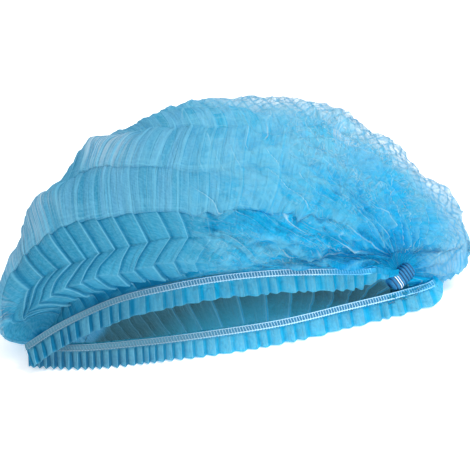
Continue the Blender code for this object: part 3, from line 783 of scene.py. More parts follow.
# One ruffle with the strip under its elastic: flat over the band, then it hangs in waves that
# deepen to the hem, as knife pleats at the left and soft ones at the right.
def ruffleSurface(rim, seed):
    along = np.linspace(cap["alongStart"], rim["reach"], ruffles["rows"])[:, None]
    middle, hang = rimFrame(rim, along)
    middle[..., 1] -= comeForward(rim, along)
    across = bandAcross(rim, hang)
    length = wayAlong(middle)
    pitch, depth, sharp = np.moveaxis(tableLine(rim["waves"], along), -1, 0)
    level = np.zeros_like(length)
    phase = np.cumsum(np.diff(length, prepend=0, axis=0) / pitch, axis=0)
    phase = phase + 0.30 * softNoise(length / 0.011, level, seed)
    wave = ruffleWave(phase, np.clip(sharp, 0, 1))
    wave = wave * (1 + 0.35 * softNoise(length / 0.009, level + 1, seed + 1))

    # the waves and the fall of the cloth, from the strip down to the hem
    share = np.concatenate([ruffles["strip"], np.linspace(0, 1, ruffles["steps"])])[None, :]
    first, last, gone = rim["taper"]
    narrow = 1 - gone * smoothStep(along, first, last)
    waved = np.clip(share, 0, 1) ** 0.75 * narrow
    drop = (rim["ruffle"] - cap["bandWidth"]) * narrow
    drop = drop * (1 + 0.05 * softNoise(length / 0.014, level, seed + 2)) * (1 + 0.04 * wave)
    swing = depth * wave * waved
    swing = swing + ruffles["crinkle"] * softNoise(length / 0.003, share * 3, seed + 3) * waved
    slant = ruffles["slant"] * (1 - smoothStep(along, 0.3, 0.6)) * waved
    out = unit(np.cross(np.gradient(middle, axis=0), hang))
    fallen = drop * np.clip(share, 0, 1)
    points = middle + across * cap["bandWidth"] / 2 + hang * fallen[..., None]
    strip = cap["bandWidth"] * np.clip(share / -ruffles["strip"][0], -1, 0)
    points = points + across * strip[..., None] - out * swing[..., None]
    points = points - unit(np.gradient(middle, axis=0)) * slant[..., None]

    # the same masks and traces as the crown has: painted shade in the gaps and hollows of the
    # waves, on the strip under the elastic and at the tucked end, and a lighter hem and pleat
    # faces, partly painted highlight
    top = np.clip(share * 8, 0, 1)
    turn = phase - np.floor(phase)
    gap = smoothStep(turn, 0.72, 0.80) + 0.7 * bell(turn, 0.0, 0.10)
    uneven = np.random.default_rng(seed + 9).uniform(0.3, 1.3, 400)
    uneven = uneven[np.floor(phase).astype(int) % 400]
    gap = gap * (1 + (uneven - 1) * smoothStep(along, 0.2, 0.45))
    tucked = 0.6 * smoothStep(along, 0.925, 0.975)
    deep = (0.22 + np.clip(-wave, 0, 1) * 0.4 + gap * (0.3 + 0.7 * sharp)) * top + tucked
    deep = np.clip(deep + 0.5 * (1 - top), 0, 1)
    edge = 0.6 * bell(share, 1.0, 0.06) + 0.18 * smoothStep(turn, 0.20, 0.70) * (turn < 0.73) * top
    none, blue = np.zeros_like(deep), smoothStep(along, 0.22, 0.5) * 0.9
    creased = top * (0.35 + 0.65 * sharp)
    marks = {
        "pleatMasks": np.stack([deep, np.clip(edge, 0, 1), none, blue + none], -1),
        "pleatTraces": np.stack([none, none, none, creased + none], -1),
    }
    # a crest lies where the material draws the edge of a knife pleat
    maps = {
        "clothUv": (length + none, drop * share),
        "pleatUv": (phase + 0.17 + none, drop * share / 0.026),
    }
    return aboveFloor(points), marks, maps


# Area of a grid of points, cell by cell.
def areaOf(points):
    corners = np.cross(np.diff(points, axis=0)[:, 1:], np.diff(points, axis=1)[1:])
    return float(np.linalg.norm(corners, axis=-1).sum())


# A piece of cloth from its points, marks and maps; turned says that its faces are turned round.
def makeCloth(name, surface, material, turned=False):
    points, marks, maps = surface
    quads = faceGrid(*points.shape[:2])
    obj = makeMesh(name, points, quads[:, ::-1] if turned else quads, material)
    for label, values in marks.items():
        keepValues(obj, label, values.reshape(len(obj.data.vertices), -1).squeeze())
    for label, values in maps.items():
        keepUv(obj, label, *values)
    print(name + ":", len(quads) * 2, "triangles,", round(areaOf(points), 4), "square metres")
    return obj


# The frame of an elastic along its rim, at evenly spaced places: its middle, across its width,
# away from the cloth, and its whole length.
def bandFrame(rim, count, inset=0.0, end=cap["alongEnd"]):
    along = np.linspace(cap["alongStart"], end, 2000)
    length = wayAlong(rimFrame(rim, along)[0])
    even = np.interp(np.linspace(inset, length[-1] - inset, count), length, along)
    middle, hang = rimFrame(rim, even)
    across = bandAcross(rim, hang)
    out = -unit(np.cross(np.gradient(middle, axis=0), across))
    return middle, across, out, length[-1]


# A wave drawn out toward a square one, for a power under 1.
def squared(wave, power):
    return np.sign(wave) * np.abs(wave) ** power


# How fully an elastic shows its own colour rather than grey, and how deep it lies in the cloth,
# along X.
def threadTone(rim, points):
    x = points.reshape(-1, 3)[:, 0]
    fullTone, sunk = smoothStep(x, *rim["threadFullTone"]), rim["sunk"] * smoothStep(x, *rim["threadDim"])
    return np.stack([fullTone, sunk, 0 * x, 0 * x], -1)


tape = {"width": 0.0034, "thick": 0.0009, "gap": 0.0004, "rib": 0.00008, "steps": 420, "sides": 16}


# A flat tape with rounded edges: an oval profile carried along the rim, lightly ribbed.
def makeTape(name, rim, material):
    steps, sides = tape["steps"], tape["sides"]
    middle, across, out, _ = bandFrame(rim, steps)
    turn = np.linspace(0, 2 * np.pi, sides, endpoint=False)
    wide = squared(np.cos(turn), 0.5) * tape["width"] / 2
    high = squared(np.sin(turn), 0.7) * tape["thick"] / 2
    rib = 1 + tape["rib"] / tape["thick"] * np.cos(np.arange(steps) * np.pi)
    centre = middle + out * (tape["gap"] + tape["thick"] / 2)
    points = centre[:, None] + across[:, None] * wide[None, :, None]
    points = points + out[:, None] * (high[None, :] * rib[:, None])[..., None]
    last = (steps - 1) * sides
    ends = [list(range(sides)), [last + k for k in reversed(range(sides))]]
    obj = makeMesh(name, points, faceGrid(steps, sides, closed=True), material, ends)
    keepValues(obj, "threadTone", threadTone(rim, points))
    return obj


stitches = {
    "pitch": 0.0017, "radius": 0.00017, "spread": 0.0016, "gap": 0.0014, "sides": 6,
    "steps": 6, "lean": 0.0003, "stray": 0.0002, "arch": 0.0002,      # of a rung
    "lineSteps": 8, "lineSink": 0.0002,                               # of the two lines
    "lines": ((-1, 0.00019, 0.00008), (1, 0.00025, 0.00028)),  # edge, radius, what a tooth adds
}


# Round threads: a ring of points carried along each path in a stack of paths.
def threadPoints(paths, firstSide, secondSide, radius):
    turn = np.linspace(0, 2 * np.pi, stitches["sides"], endpoint=False)
    ring = np.cos(turn)[:, None] * firstSide[..., None, :]
    ring = ring + np.sin(turn)[:, None] * secondSide[..., None, :]
    return paths[..., None, :] + ring * np.asarray(radius)[..., None, None]


# The same faces for each of many copies of a piece that has size points.
def copiedFaces(quads, copies, size):
    return (quads[None] + np.arange(copies)[:, None, None] * size).reshape(-1, 4)


# Overlock stitching on an elastic: two thread lines, and a rung between them at each stitch.
def makeStitches(name, rim, material):
    end, pitch = rim["threadEnd"], stitches["pitch"]
    sides, steps = stitches["sides"], stitches["steps"]
    count = int(bandFrame(rim, 10, 0.0, end)[-1] / pitch)
    middle, across, out, _ = bandFrame(rim, count, pitch, end)
    forward = unit(np.gradient(middle, axis=0))
    span = np.linspace(-1, 1, steps)
    stray = np.random.default_rng(5).uniform(-stitches["stray"], stitches["stray"], count)
    slant = (stitches["lean"] + stray)[:, None] * span[None]
    rise = stitches["gap"] + stitches["arch"] * (1 - span**2)
    paths = middle[:, None] + across[:, None] * (span * stitches["spread"])[None, :, None]
    paths = paths + out[:, None] * rise[None, :, None] + forward[:, None] * slant[..., None]
    side, lifted = (np.broadcast_to(way[:, None], paths.shape) for way in (forward, out))
    rungs = threadPoints(paths, side, lifted, np.full(paths.shape[:2], stitches["radius"]))
    points = [rungs.reshape(-1, 3)]
    quads = [copiedFaces(faceGrid(steps, sides, closed=True)[:, ::-1], count, steps * sides)]
    fine = stitches["lineSteps"] * count
    middle, across, out, _ = bandFrame(rim, fine, pitch, end)
    tooth = saw(np.arange(fine) / stitches["lineSteps"], 0.3)
    for edge, radius, grown in stitches["lines"]:
        path = middle + across * (edge * (stitches["spread"] + 0.5 * grown * tooth))[:, None]
        path = path + out * (stitches["gap"] - stitches["lineSink"] * (1 - tooth))[:, None]
        line = threadPoints(path, across, out, radius + grown * tooth)
        quads.append(faceGrid(fine, sides, closed=True) + sum(len(part) for part in points))
        points.append(line.reshape(-1, 3))
    points = np.concatenate(points)
    obj = makeMesh(name, points, np.concatenate(quads), material)
    keepValues(obj, "threadTone", threadTone(rim, points))
    return obj


# half: half of its length along the ribs, its height and its depth; sign: which way is out
gathers = {
    "ribs": 9, "stepsPerRib": 10, "turns": 28, "groove": 0.16, "threadRadius": 0.00030,
    "left_end_gather": {
        "half": (0.0042, 0.0032, 0.0034), "along": cap["alongStart"], "sign": 1, "tilt": 0,
        "shift": (0.0, 0.0010, -0.0020), "threads": (-0.6,),
    },
    "right_end_gather": {
        "half": (0.0094, 0.0054, 0.0056), "along": cap["alongEnd"], "sign": -1, "tilt": 24,
        "shift": (-0.0002, -0.0006, -0.0030), "threads": (-0.52, -0.36),
    },
}


# Stacked pleat ends: a rounded block whose section swells and shrinks once for each rib, with
# threads wound round it at shares of its length.
def makeGather(name, node, material, threadMaterial):
    facts, ribs, turns, sides = gathers[node], gathers["ribs"], gathers["turns"], stitches["sides"]
    low, high = (np.array(corner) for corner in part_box(node))
    centre = (low + high) / 2 + np.array(facts["shift"])
    ring = crownPoint(np.full(40, facts["along"]), np.linspace(1, 14, 40))
    spokes = np.cross(ring[:-1] - ring.mean(0), ring[1:] - ring.mean(0)).sum(0)
    out = unit(spokes) * facts["sign"]
    level = unit(np.cross((0.0, 0.0, 1.0), out))
    tilt = math.radians(facts["tilt"])
    side = level * math.cos(tilt) + np.cross(out, level) * math.sin(tilt)
    rise = np.cross(out, side)
    s = np.linspace(-1, 1, ribs * gathers["stepsPerRib"] + 1)
    groove = (1 - np.abs(np.sin(np.pi * ribs * (s + 1) / 2))) ** 1.4
    swell = 1 - gathers["groove"] * groove
    close = np.clip(1 - np.abs(s) ** 5, 0.0, 1) ** 0.5
    turn = np.linspace(0, 2 * np.pi, turns, endpoint=False)
    tall, deep = squared(np.cos(turn), 0.6), squared(np.sin(turn), 0.6)
    size = (swell * np.maximum(close, 0.12))[:, None]
    points = centre + side * (s * facts["half"][0])[:, None, None]
    points = points + rise * (size * tall * facts["half"][1])[..., None]
    points = points + out * (size * deep * facts["half"][2])[..., None]
    last = (len(s) - 1) * turns
    ends = [list(reversed(range(turns))), [last + k for k in range(turns)]]
    obj = makeMesh(name, points, faceGrid(len(s), turns, closed=True)[:, ::-1], material, ends)
    # full tone on the swollen ribs, none in the grooves between them, where the grey is painted
    # shade
    keepValues(obj, "threadTone", np.repeat(smoothStep(swell, 0.86, 0.985), turns))
    rows = [int(round((at + 1) / 2 * (len(s) - 1))) for at in facts["threads"]]
    paths = np.stack([centre + (points[k] - centre) * 1.03 for k in rows])
    radial = unit(paths - paths.mean(1, keepdims=True))
    radius = np.full(paths.shape[:2], gathers["threadRadius"])
    rings = threadPoints(paths, radial, np.broadcast_to(side, paths.shape), radius)
    loop = faceGrid(turns + 1, sides, closed=True) % (turns * sides)
    quads = copiedFaces(loop, len(rows), turns * sides)
    thread = makeMesh(name + "Thread", rings.reshape(-1, 3), quads, threadMaterial)
    keepValues(thread, "threadTone", np.zeros(len(thread.data.vertices)))
    return obj, thread


# Whether an input comes from another node and isn't a plain value.
def isSocket(value):
    return isinstance(value, bpy.types.NodeSocket)


# A new node of a tree. Its inputs are named or numbered, each another node's socket or a value.
def addNode(tree, kind, inputs=None, **settings):
    node = tree.nodes.new("ShaderNode" + kind)
    for label, value in settings.items():
        setattr(node, label, value)
    for label, value in (inputs or {}).items():
        if isSocket(value):
            tree.links.new(value, node.inputs[label])
        else:
            node.inputs[label].default_value = value
    return node


# Arithmetic in the tree that the first socket is from, kept from 0 to 1 unless clamp is off.
def calculate(kind, *values, clamp=True):
    tree = next(value.id_data for value in values if isSocket(value))
    node = addNode(tree, "Math", dict(enumerate(values)), operation=kind, use_clamp=clamp)
    return node.outputs["Value"]


# Product of sockets and numbers.
def times(first, *others, clamp=True):
    for other in others:
        first = calculate("MULTIPLY", first, other, clamp=clamp)
    return first


def plus(first, second, clamp=True):
    return calculate("ADD", first, second, clamp=clamp)


def minus(first, second):
    return calculate("SUBTRACT", first, second)


# The first colour with a share of the second laid over it, by a Mix node's colour sockets.
def mixed(share, first, second):
    inputs = {0: share, 6: first, 7: second}
    return addNode(share.id_data, "Mix", inputs, data_type="RGBA").outputs[2]


# A vector turned about Z, or scaled along its axes.
def mapped(vector, scale=(1.0, 1.0, 1.0), turn=0.0):
    inputs = {"Vector": vector, "Scale": scale, "Rotation": (0, 0, turn)}
    return addNode(vector.id_data, "Mapping", inputs).outputs["Vector"]


# A value taken from between low and high to between two others, 0 and 1 unless they are given.
def ranged(value, low, high, toLow=0.0, toHigh=1.0, kind="LINEAR"):
    inputs = {"Value": value, "From Min": low, "From Max": high, "To Min": toLow, "To Max": toHigh}
    return addNode(value.id_data, "MapRange", inputs, interpolation_type=kind).outputs["Result"]


# The four values kept on a mesh under one name.
def keptParts(tree, name):
    kept = addNode(tree, "Attribute", attribute_name=name)
    parts = addNode(tree, "SeparateColor", {"Color": kept.outputs["Color"]})
    return (*parts.outputs, kept.outputs["Alpha"])


def uvMap(tree, name):
    return addNode(tree, "UVMap", uv_map=name).outputs["UV"]


def axesOf(vector):
    return addNode(vector.id_data, "SeparateXYZ", {"Vector": vector}).outputs


# Short bonded fibres of the nonwoven: the mean of two stretched noises, one across the other.
def fibreGroup():
    group = bpy.data.node_groups.new("Bonded fibres", "ShaderNodeTree")
    for label, kind, value in (("Vector", "Vector", (0, 0, 0)), ("Scale", "Float", 900.0)):
        socket = group.interface.new_socket(
            name=label, in_out="INPUT", socket_type="NodeSocket" + kind
        )
        socket.default_value = value
    group.interface.new_socket(name="Fibres", in_out="OUTPUT", socket_type="NodeSocketFloat")
    start, end = group.nodes.new("NodeGroupInput"), group.nodes.new("NodeGroupOutput")
    noises = []
    for turn, stretch in ((0.5, (1.0, 0.18, 1.0)), (-0.7, (1.0, 0.22, 1.0))):
        inputs = {
            "Vector": mapped(start.outputs["Vector"], stretch, turn),
            "Scale": start.outputs["Scale"], "Detail": 2.0, "Roughness": 0.6,
        }
        noises.append(addNode(group, "TexNoise", inputs).outputs["Fac"])
    both = plus(*noises, clamp=False)
    group.links.new(times(both, 0.5, clamp=False), end.inputs["Fibres"])
    return group


# The bonded fibres in one material, with its own vector and size of the fibres.
def weaveOf(tree, fibres, vector, scale):
    inputs = {"Vector": vector, "Scale": scale}
    return addNode(tree, "Group", inputs, node_tree=fibres).outputs["Fibres"]


# A material, its tree, its shader and its output.
def newMaterial(name):
    material = bpy.data.materials.new(name)
    material.use_nodes = True
    nodes = material.node_tree.nodes
    return material, material.node_tree, nodes["Principled BSDF"], nodes["Material Output"]


clothLook = {
    # body and right: the left half is darker partly as painted shade on the side away from the
    # light, and the right half has the stronger colour of its layered cloth
    "body": (0.034, 0.400, 0.600, 1),      # the left half
    "right": (0.000, 0.545, 0.810, 1),     # the right half
    # fold: painted shade deep in the folds, gaps and valleys of the left half
    "fold": (0.000, 0.210, 0.400, 1),      # deep in the left half
    "deep": (0.000, 0.570, 0.930, 1),      # deep in the right half
    # edge and crease: lighter tones for random facets, fibres and streaks, for doubled cloth at
    # edges, and for painted highlights on crests and crumple rims
    "edge": (0.280, 0.700, 0.860, 1),
    "crease": (0.640, 0.890, 0.970, 1),
    "haze": (0.310, 0.640, 0.860, 1),      # on the upper tiers
    # sheer: the pale single layer of the sheer crest, painted near-white as light shining through
    # it
    "sheer": (0.860, 0.945, 0.975, 1),
    "crossing": (0.140, 0.380, 0.600, 1),  # the lattice on the sheer crest
    "glint": (0.900, 0.960, 0.990, 1),
    # inside and lit: painted shade in the mouth under the upper ruffle, lightening to painted light
    # toward the lower rim
    "inside": (0.038, 0.152, 0.180, 1),
    "lit": (0.030, 0.370, 0.480, 1),       # the inside near the mouth
    "fibreScale": 1100.0, "roughness": 0.6, "specular": 0.05, "through": 0.60, "opacity": 0.97,
    "bumpStrength": 0.9, "bumpDistance": 0.0013,
}


# 1 where the fraction of a phase is at top, falling to 0 at low and at end.
def peak(phase, low, top, end):
    part = calculate("FRACT", phase, clamp=False)
    return times(ranged(part, low, top), ranged(part, end, top))


# A random tone for each facet between the folds: white noise of the two phases' whole parts.
def facetTone(first, second):
    x, y = (calculate("FLOOR", phase, clamp=False) for phase in (first, second))
    whole = addNode(first.id_data, "CombineXYZ", {"X": x, "Y": y}).outputs["Vector"]
    chance = addNode(first.id_data, "TexWhiteNoise", {"Vector": whole}, noise_dimensions="2D")
    return chance.outputs["Value"]


# Thin streaks: plain noise drawn out by the mapping's scale, cut between two levels.
def streakNoise(vector, scale, low, high, turn=0.0, detail=3.0):
    vector = mapped(vector, turn=turn) if turn else vector
    bend = 0.15 if detail > 2 else 0.0
    inputs = {"Vector": mapped(vector, scale), "Scale": 1.0, "Detail": detail, "Distortion": bend}
    noise = addNode(vector.id_data, "TexNoise", inputs)
    return ranged(noise.outputs["Fac"], low, high, kind="SMOOTHSTEP")


# Fine lines of creased cloth: ridged noise, drawn out by the mapping's scale.
def creaseNoise(vector, scale):
    inputs = {
        "Vector": mapped(vector, scale), "Scale": 1.0, "Detail": 5.0, "Roughness": 0.55,
        "Lacunarity": 2.1, "Distortion": 0.9,
    }
    noise = addNode(vector.id_data, "TexNoise", inputs, noise_type="RIDGED_MULTIFRACTAL")
    return noise.outputs["Fac"]


# A web of fine creases: light lines along the edges of bent Voronoi cells, a tone for each cell,
# and the distance to its edge.
def creaseWeb(vector, scale, width):
    tree, vector = vector.id_data, mapped(vector, scale)
    bend = addNode(tree, "TexNoise", {"Vector": vector, "Scale": 0.7, "Detail": 2.0})
    inputs = {0: bend.outputs["Color"], 1: (0.45, 0.45, 0.0), 2: vector}
    moved = addNode(tree, "VectorMath", inputs, operation="MULTIPLY_ADD").outputs["Vector"]
    inputs = {"Vector": moved, "Scale": 1.0}
    edges, cells = (
        addNode(tree, "TexVoronoi", inputs, voronoi_dimensions="2D", feature=kind)
        for kind in ("DISTANCE_TO_EDGE", "F1")
    )
    distance = edges.outputs["Distance"]
    line = ranged(distance, 0.0, width, 1.0, 0.0, "SMOOTHSTEP")
    tone = addNode(tree, "SeparateColor", {"Color": cells.outputs["Color"]})
    return line, tone.outputs[0], distance


# Crossing pleats on the sheer crest: two turned waves, each drawn thin.
def sheerLattice(vector):
    lattice = 0.0
    for turn in (0.9, -0.6):
        inputs = {
            "Vector": mapped(vector, turn=turn), "Scale": 56.0, "Distortion": 0.8,
            "Detail": 1.0, "Detail Scale": 0.6,
        }
        wave = addNode(vector.id_data, "TexWave", inputs)
        lattice = plus(lattice, calculate("POWER", wave.outputs["Fac"], 8.0))
    return lattice


# Colour is laid in layers over the body's, each with its share from the marks: random tones,
# fibres and streaks, painted shade in folds, gaps, hollows and the mouth, and painted highlights
# on edges, rims and glints. The sheer crest lets light and the back show through.
def clothMaterial(fibres):
    material, tree, shader, out = newMaterial("sheerNonwoven")
    look = clothLook
    deep, edge, sheer, right = keptParts(tree, "pleatMasks")
    foldLine, glint, pale, creased = keptParts(tree, "pleatTraces")
    fanFold, crossFold, inside, boxy = keptParts(tree, "crumpleMarks")
    loose = addNode(tree, "Attribute", attribute_name="looseCloth").outputs["Fac"]
    clothUv, pleatUv = uvMap(tree, "clothUv"), uvMap(tree, "pleatUv")
    crease, longFold, _ = axesOf(pleatUv)
    fan, cross, _ = axesOf(uvMap(tree, "crumpleUv"))
    weave = weaveOf(tree, fibres, clothUv, look["fibreScale"])

    lattice = sheerLattice(clothUv)
    clear = times(sheer, minus(1.0, times(lattice, 0.8)))
    rich = minus(1.0, times(deep, 0.85))

    # knife pleats at the left, and three times as many on the upper tiers: painted highlight on
    # their edges, painted shade in their gaps, and painted shading across each face, lighter toward
    # its edge
    thirds = times(crease, 3.0, clamp=False)
    upper = times(pale, minus(1.0, calculate("POWER", right, 5.0)))
    knife = times(peak(crease, 0.855, 0.895, 0.935), creased)
    knife = plus(knife, times(peak(thirds, 0.74, 0.83, 0.90), times(upper, 0.80)))
    gaps = times(peak(crease, 0.91, 0.96, 1.0), creased)
    gaps = plus(gaps, times(peak(thirds, 0.88, 0.96, 1.0), times(upper, 0.75)))
    face = times(calculate("FRACT", crease, clamp=False), creased, 0.20)
    plate = facetTone(thirds, longFold)

    # crumples: painted highlights on their rims with shaded hollows behind them in the deep colour,
    # and a random tone for each facet
    rims, hollows = 0.0, 0.0
    for phase, share in ((fan, fanFold), (cross, crossFold)):
        rims = plus(rims, times(peak(phase, 0.77, 0.83, 0.88), share))
        hollows = plus(hollows, times(peak(phase, 0.86, 0.92, 1.0), share))
    box = facetTone(times(cross, 1.7, clamp=False), times(longFold, 2.6, clamp=False))
    boxed = times(minus(box, 0.40), 1.2, boxy)
    wide, wideTone, wideRise = creaseWeb(pleatUv, (1.5, 2.4, 1.0), 0.045)
    fine, fineTone, fineRise = creaseWeb(pleatUv, (4.2, 5.6, 1.0), 0.07)
    tone = plus(times(wideTone, 0.34), times(fineTone, 0.34))
    tone = plus(tone, times(facetTone(fan, cross), 0.32))
    haze, sunk = times(minus(tone, 0.52), 5.0), times(minus(0.49, tone), 6.0)
    web = times(plus(wide, times(fine, 0.6)), right)
    web = times(web, rich, times(loose, 0.50))
    short = 0.0
    for turn in (0.35, 1.15, 1.95, 2.75):
        streak = streakNoise(clothUv, (720.0, 140.0, 1.0), 0.62, 0.70, turn, 1.2)
        short = calculate("MAXIMUM", short, streak)
    short = times(short, loose, minus(0.75, times(deep, 0.40)))

    # fine streaks along the creases, lines that follow the long folds, and cloudy fibres
    streaks = streakNoise(pleatUv, (7.0, 0.55, 1.0), 0.50, 0.72)
    hairs = streakNoise(pleatUv, (21.0, 1.10, 1.0), 0.50, 0.74)
    contour = streakNoise(pleatUv, (0.55, 34.0, 1.0), 0.46, 0.60)
    cloud = streakNoise(clothUv, (620.0, 560.0, 1.0), 0.38, 0.62)
    lines = plus(times(streaks, 0.5), times(hairs, 0.35))
    grain = times(minus(weave, 0.42), 1.2)
    drawn = times(lines, plus(1.0, pale, clamp=False), clamp=False)
    # fibre grain and fine streaks along the creases, in the lighter tone, less where the colour is
    # deep
    grainAndStreaks = times(plus(grain, drawn), rich, minus(0.42, times(right, 0.30)))
    bright = plus(times(streaks, 0.8, clamp=False), times(hairs, 3.2, clamp=False))

    # the deep colour is painted shade at the left and the strongest colour at the right; inside the
    # mouth the colour is painted shade that lightens toward the lower rim
    deepest = mixed(right, look["fold"], look["deep"])
    insideShading = mixed(ranged(longFold, 13.3, 14.5), look["inside"], look["lit"])
    layers = (
        (times(haze, right, 0.55), look["edge"]),
        (times(sunk, right, 0.60), deepest),
        (boxed, look["edge"]),
        (times(pale, plus(0.08, times(plate, 0.58))), look["haze"]),
        (times(cloud, minus(1.0, times(right, 0.65)), 0.20), look["edge"]),
        (times(minus(1.0, cloud), 0.18), deepest),
        (inside, insideShading),
        (face, look["edge"]),
        (times(deep, 0.95), deepest),
        (times(edge, 0.62), look["edge"]),
        (times(hollows, 0.75), deepest),
        (times(gaps, 0.60), deepest),
        (plus(web, short), look["crease"]),
        (times(knife, minus(0.72, times(inside, 0.30))), look["edge"]),
        (times(rims, 0.92), look["crease"]),
        (times(foldLine, plus(0.15, contour), 0.80), look["edge"]),
        (times(clear, 0.92), look["sheer"]),
        (times(lattice, sheer, 0.7), look["crossing"]),
        (grainAndStreaks, look["edge"]),
        (times(glint, plus(0.10, bright)), look["glint"]),
    )
    colour = mixed(right, look["body"], look["right"])
    for share, laid in layers:
        colour = mixed(share, colour, laid)
    tree.links.new(colour, shader.inputs["Base Color"])
    shader.inputs["Roughness"].default_value = look["roughness"]
    shader.inputs["Specular IOR Level"].default_value = look["specular"]

    rise = plus(times(wideRise, 2.4, clamp=False), times(fineRise, 0.8, clamp=False), clamp=False)
    rise = plus(rise, creaseNoise(clothUv, (170.0, 150.0, 1.0)), clamp=False)
    rise = plus(times(rise, right, clamp=False), times(short, 1.2, clamp=False), clamp=False)
    height = plus(plus(times(weave, 0.2), lines, clamp=False), rise, clamp=False)
    inputs = {"Strength": look["bumpStrength"], "Distance": look["bumpDistance"], "Height": height}
    normal = addNode(tree, "Bump", inputs).outputs["Normal"]
    tree.links.new(normal, shader.inputs["Normal"])

    # some light goes through the cloth, and the sheer crest is partly clear
    glow = addNode(tree, "BsdfTranslucent", {"Color": colour, "Normal": normal})
    inputs = {0: look["through"], 1: shader.outputs[0], 2: glow.outputs[0]}
    both = addNode(tree, "MixShader", inputs)
    see = addNode(tree, "BsdfTransparent")
    opacity = minus(look["opacity"], times(clear, 0.54))
    whole = addNode(tree, "MixShader", {0: opacity, 1: see.outputs[0], 2: both.outputs[0]})
    tree.links.new(whole.outputs[0], out.inputs["Surface"])
    return material


# Colours of the dark and the light fibres, size of the fibres, roughness, and, for what keeps a
# threadTone, the colour where it shows grey and the one where it is sunk in the cloth. On the
# stacked pleats the grey is painted shade in the grooves between the ribs.
threadLooks = {
    "elasticTape": {
        "dark": (0.004, 0.110, 0.240, 1), "light": (0.012, 0.210, 0.380, 1), "scale": 1500.0,
        "roughness": 0.6, "grey": (0.045, 0.180, 0.270, 1), "sunk": (0.000, 0.300, 0.560, 1),
    },
    "stitchThread": {
        "dark": (0.280, 0.600, 0.840, 1), "light": (0.600, 0.840, 0.970, 1), "scale": 2500.0,
        "roughness": 0.5, "grey": (0.120, 0.245, 0.335, 1), "sunk": (0.060, 0.500, 0.840, 1),
    },
    "whiteThread": {
        "dark": (0.660, 0.800, 0.880, 1), "light": (0.900, 0.950, 0.980, 1), "scale": 2500.0,
        "roughness": 0.5,
    },
    # the stacked pleats' grey is painted shade in the grooves between the ribs
    "stackedPleats": {
        "dark": (0.002, 0.110, 0.280, 1), "light": (0.008, 0.210, 0.450, 1), "scale": 900.0,
        "roughness": 0.6, "grey": (0.001, 0.030, 0.095, 1),
    },
    "hiddenPleats": {
        "dark": (0.010, 0.220, 0.360, 1), "light": (0.030, 0.330, 0.480, 1), "scale": 900.0,
        "roughness": 0.6,
    },
}


# A plain cloth or thread whose tone and relief follow the fibres.
def threadMaterial(name, fibres):
    material, tree, shader, _ = newMaterial(name)
    look = threadLooks[name]
    weave = weaveOf(tree, fibres, addNode(tree, "TexCoord").outputs["Object"], look["scale"])
    ramp = addNode(tree, "ValToRGB", {"Fac": weave})
    for element, place, tone in zip(ramp.color_ramp.elements, (0.3, 0.7), ("dark", "light")):
        element.position, element.color = place, look[tone]
    colour = ramp.outputs["Color"]
    if "grey" in look:
        fullTone, deep, _, _ = keptParts(tree, "threadTone")
        colour = mixed(fullTone, look["grey"], colour)
        if "sunk" in look:
            colour = mixed(deep, colour, look["sunk"])
    tree.links.new(colour, shader.inputs["Base Color"])
    shader.inputs["Roughness"].default_value = look["roughness"]
    bump = addNode(tree, "Bump", {"Strength": 0.4, "Distance": 0.0002, "Height": weave})
    tree.links.new(bump.outputs["Normal"], shader.inputs["Normal"])
    return material


# The floor, the light and the camera at the photograph's angle, in degrees and metres.
stageLook = {
    "floorSize": 8.0, "floorColour": 0.93, "floorGlow": 0.35, "world": 0.85,
    "lights": (  # name, place, what it is aimed at, size, power
        ("key", (0.7, -0.5, 1.3), (0.0, 0.0, 0.05), 0.55, 17.0),
        ("fill", (-0.3, -1.4, 0.35), (0.0, -0.05, 0.03), 0.8, 5.0),
    ),
    "azimuth": -12.0, "elevation": 24.0, "roll": 5.0,
    "target": (0.0018, -0.018, 0.0492), "distance": 1.175, "lens": 150.0, "sensor": 36.0,
}


def floorMaterial():
    material, _, shader, _ = newMaterial("paleFloor")
    shader.inputs["Base Color"].default_value = (*[stageLook["floorColour"]] * 3, 1)
    shader.inputs["Roughness"].default_value = 0.8
    shader.inputs["Emission Color"].default_value = (1.0, 1.0, 1.0, 1)
    shader.inputs["Emission Strength"].default_value = stageLook["floorGlow"]
    return material


# A round soft light aimed at a point.
def addLight(name, place, aim, size, power):
    data = bpy.data.lights.new(name, "AREA")
    data.shape, data.size, data.energy = "DISK", size, power
    obj = bpy.data.objects.new(name, data)
    bpy.context.scene.collection.objects.link(obj)
    obj.location = place
    obj.rotation_euler = (Vector(place) - Vector(aim)).to_track_quat("Z", "Y").to_euler()


def makeStage():
    half = stageLook["floorSize"] / 2
    corners = np.array(((-half, -half, 0), (half, -half, 0), (half, half, 0), (-half, half, 0)))
    floor = makeMesh("floor", corners, np.array([[0, 1, 2, 3]]), floorMaterial())
    world = bpy.data.worlds.new("studio")
    world.use_nodes = True
    background = world.node_tree.nodes["Background"]
    background.inputs["Color"].default_value = (1.0, 1.0, 1.0, 1)
    background.inputs["Strength"].default_value = stageLook["world"]
    bpy.context.scene.world = world
    for light in stageLook["lights"]:
        addLight(*light)
    bpy.context.scene.view_settings.view_transform = "Standard"


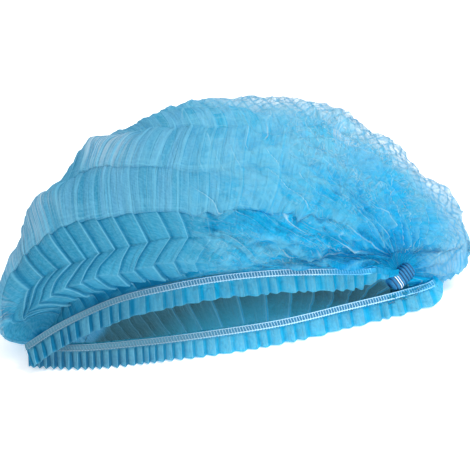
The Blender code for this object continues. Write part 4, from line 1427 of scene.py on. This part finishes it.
# The camera looks at the target from azimuth and elevation, turned by roll about its own axis.
def makeCamera():
    az, el, roll = (math.radians(stageLook[key]) for key in ("azimuth", "elevation", "roll"))
    back = np.array((math.sin(az) * math.cos(el), -math.cos(az) * math.cos(el), math.sin(el)))
    level = np.array((math.cos(az), math.sin(az), 0.0))
    upright = np.cross(back, level)
    right = level * math.cos(roll) - upright * math.sin(roll)
    up = upright * math.cos(roll) + level * math.sin(roll)
    place = stageLook["target"] + back * stageLook["distance"]
    rows = np.eye(4)
    rows[:3] = np.stack([right, up, back, place], -1)
    data = bpy.data.cameras.new("camera")
    data.lens, data.sensor_width = stageLook["lens"], stageLook["sensor"]
    data.clip_start, data.clip_end = 0.05, 50.0
    camera = bpy.data.objects.new("camera", data)
    bpy.context.scene.collection.objects.link(camera)
    camera.matrix_world = Matrix(rows.tolist())
    bpy.context.scene.camera = camera


fibres = fibreGroup()
cloth = clothMaterial(fibres)
finish = {name: threadMaterial(name, fibres) for name in threadLooks}
print("materials made")

crown = makeCloth("crownCloth", crownSurface(), cloth)
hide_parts("crown")
frontRuffle = makeCloth("frontRuffle", ruffleSurface(upperRim, 61), cloth, turned=True)
backRuffle = makeCloth("backRuffle", ruffleSurface(lowerRim, 71), cloth, turned=True)
for piece in (crown, frontRuffle, backRuffle):
    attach(piece, "root")

frontTape = makeTape("frontTape", upperRim, finish["elasticTape"])
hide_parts("front_elastic")
backTape = makeTape("backTape", lowerRim, finish["elasticTape"])
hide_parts("back_elastic")
frontStitches = makeStitches("frontStitches", upperRim, finish["stitchThread"])
backStitches = makeStitches("backStitches", lowerRim, finish["stitchThread"])
for piece in (frontTape, backTape, frontStitches, backStitches):
    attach(piece, "root")
print("elastics and stitches made")

gatherPieces = []
for node, name, pleated, thread in (
    ("left_end_gather", "leftGather", "hiddenPleats", "stitchThread"),
    ("right_end_gather", "rightGather", "stackedPleats", "whiteThread"),
):
    pair = makeGather(name, node, finish[pleated], finish[thread])
    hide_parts(node)
    for piece in pair:
        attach(piece, "root")
    gatherPieces += pair
print("gathers made")

makeStage()
makeCamera()
print("stage made")
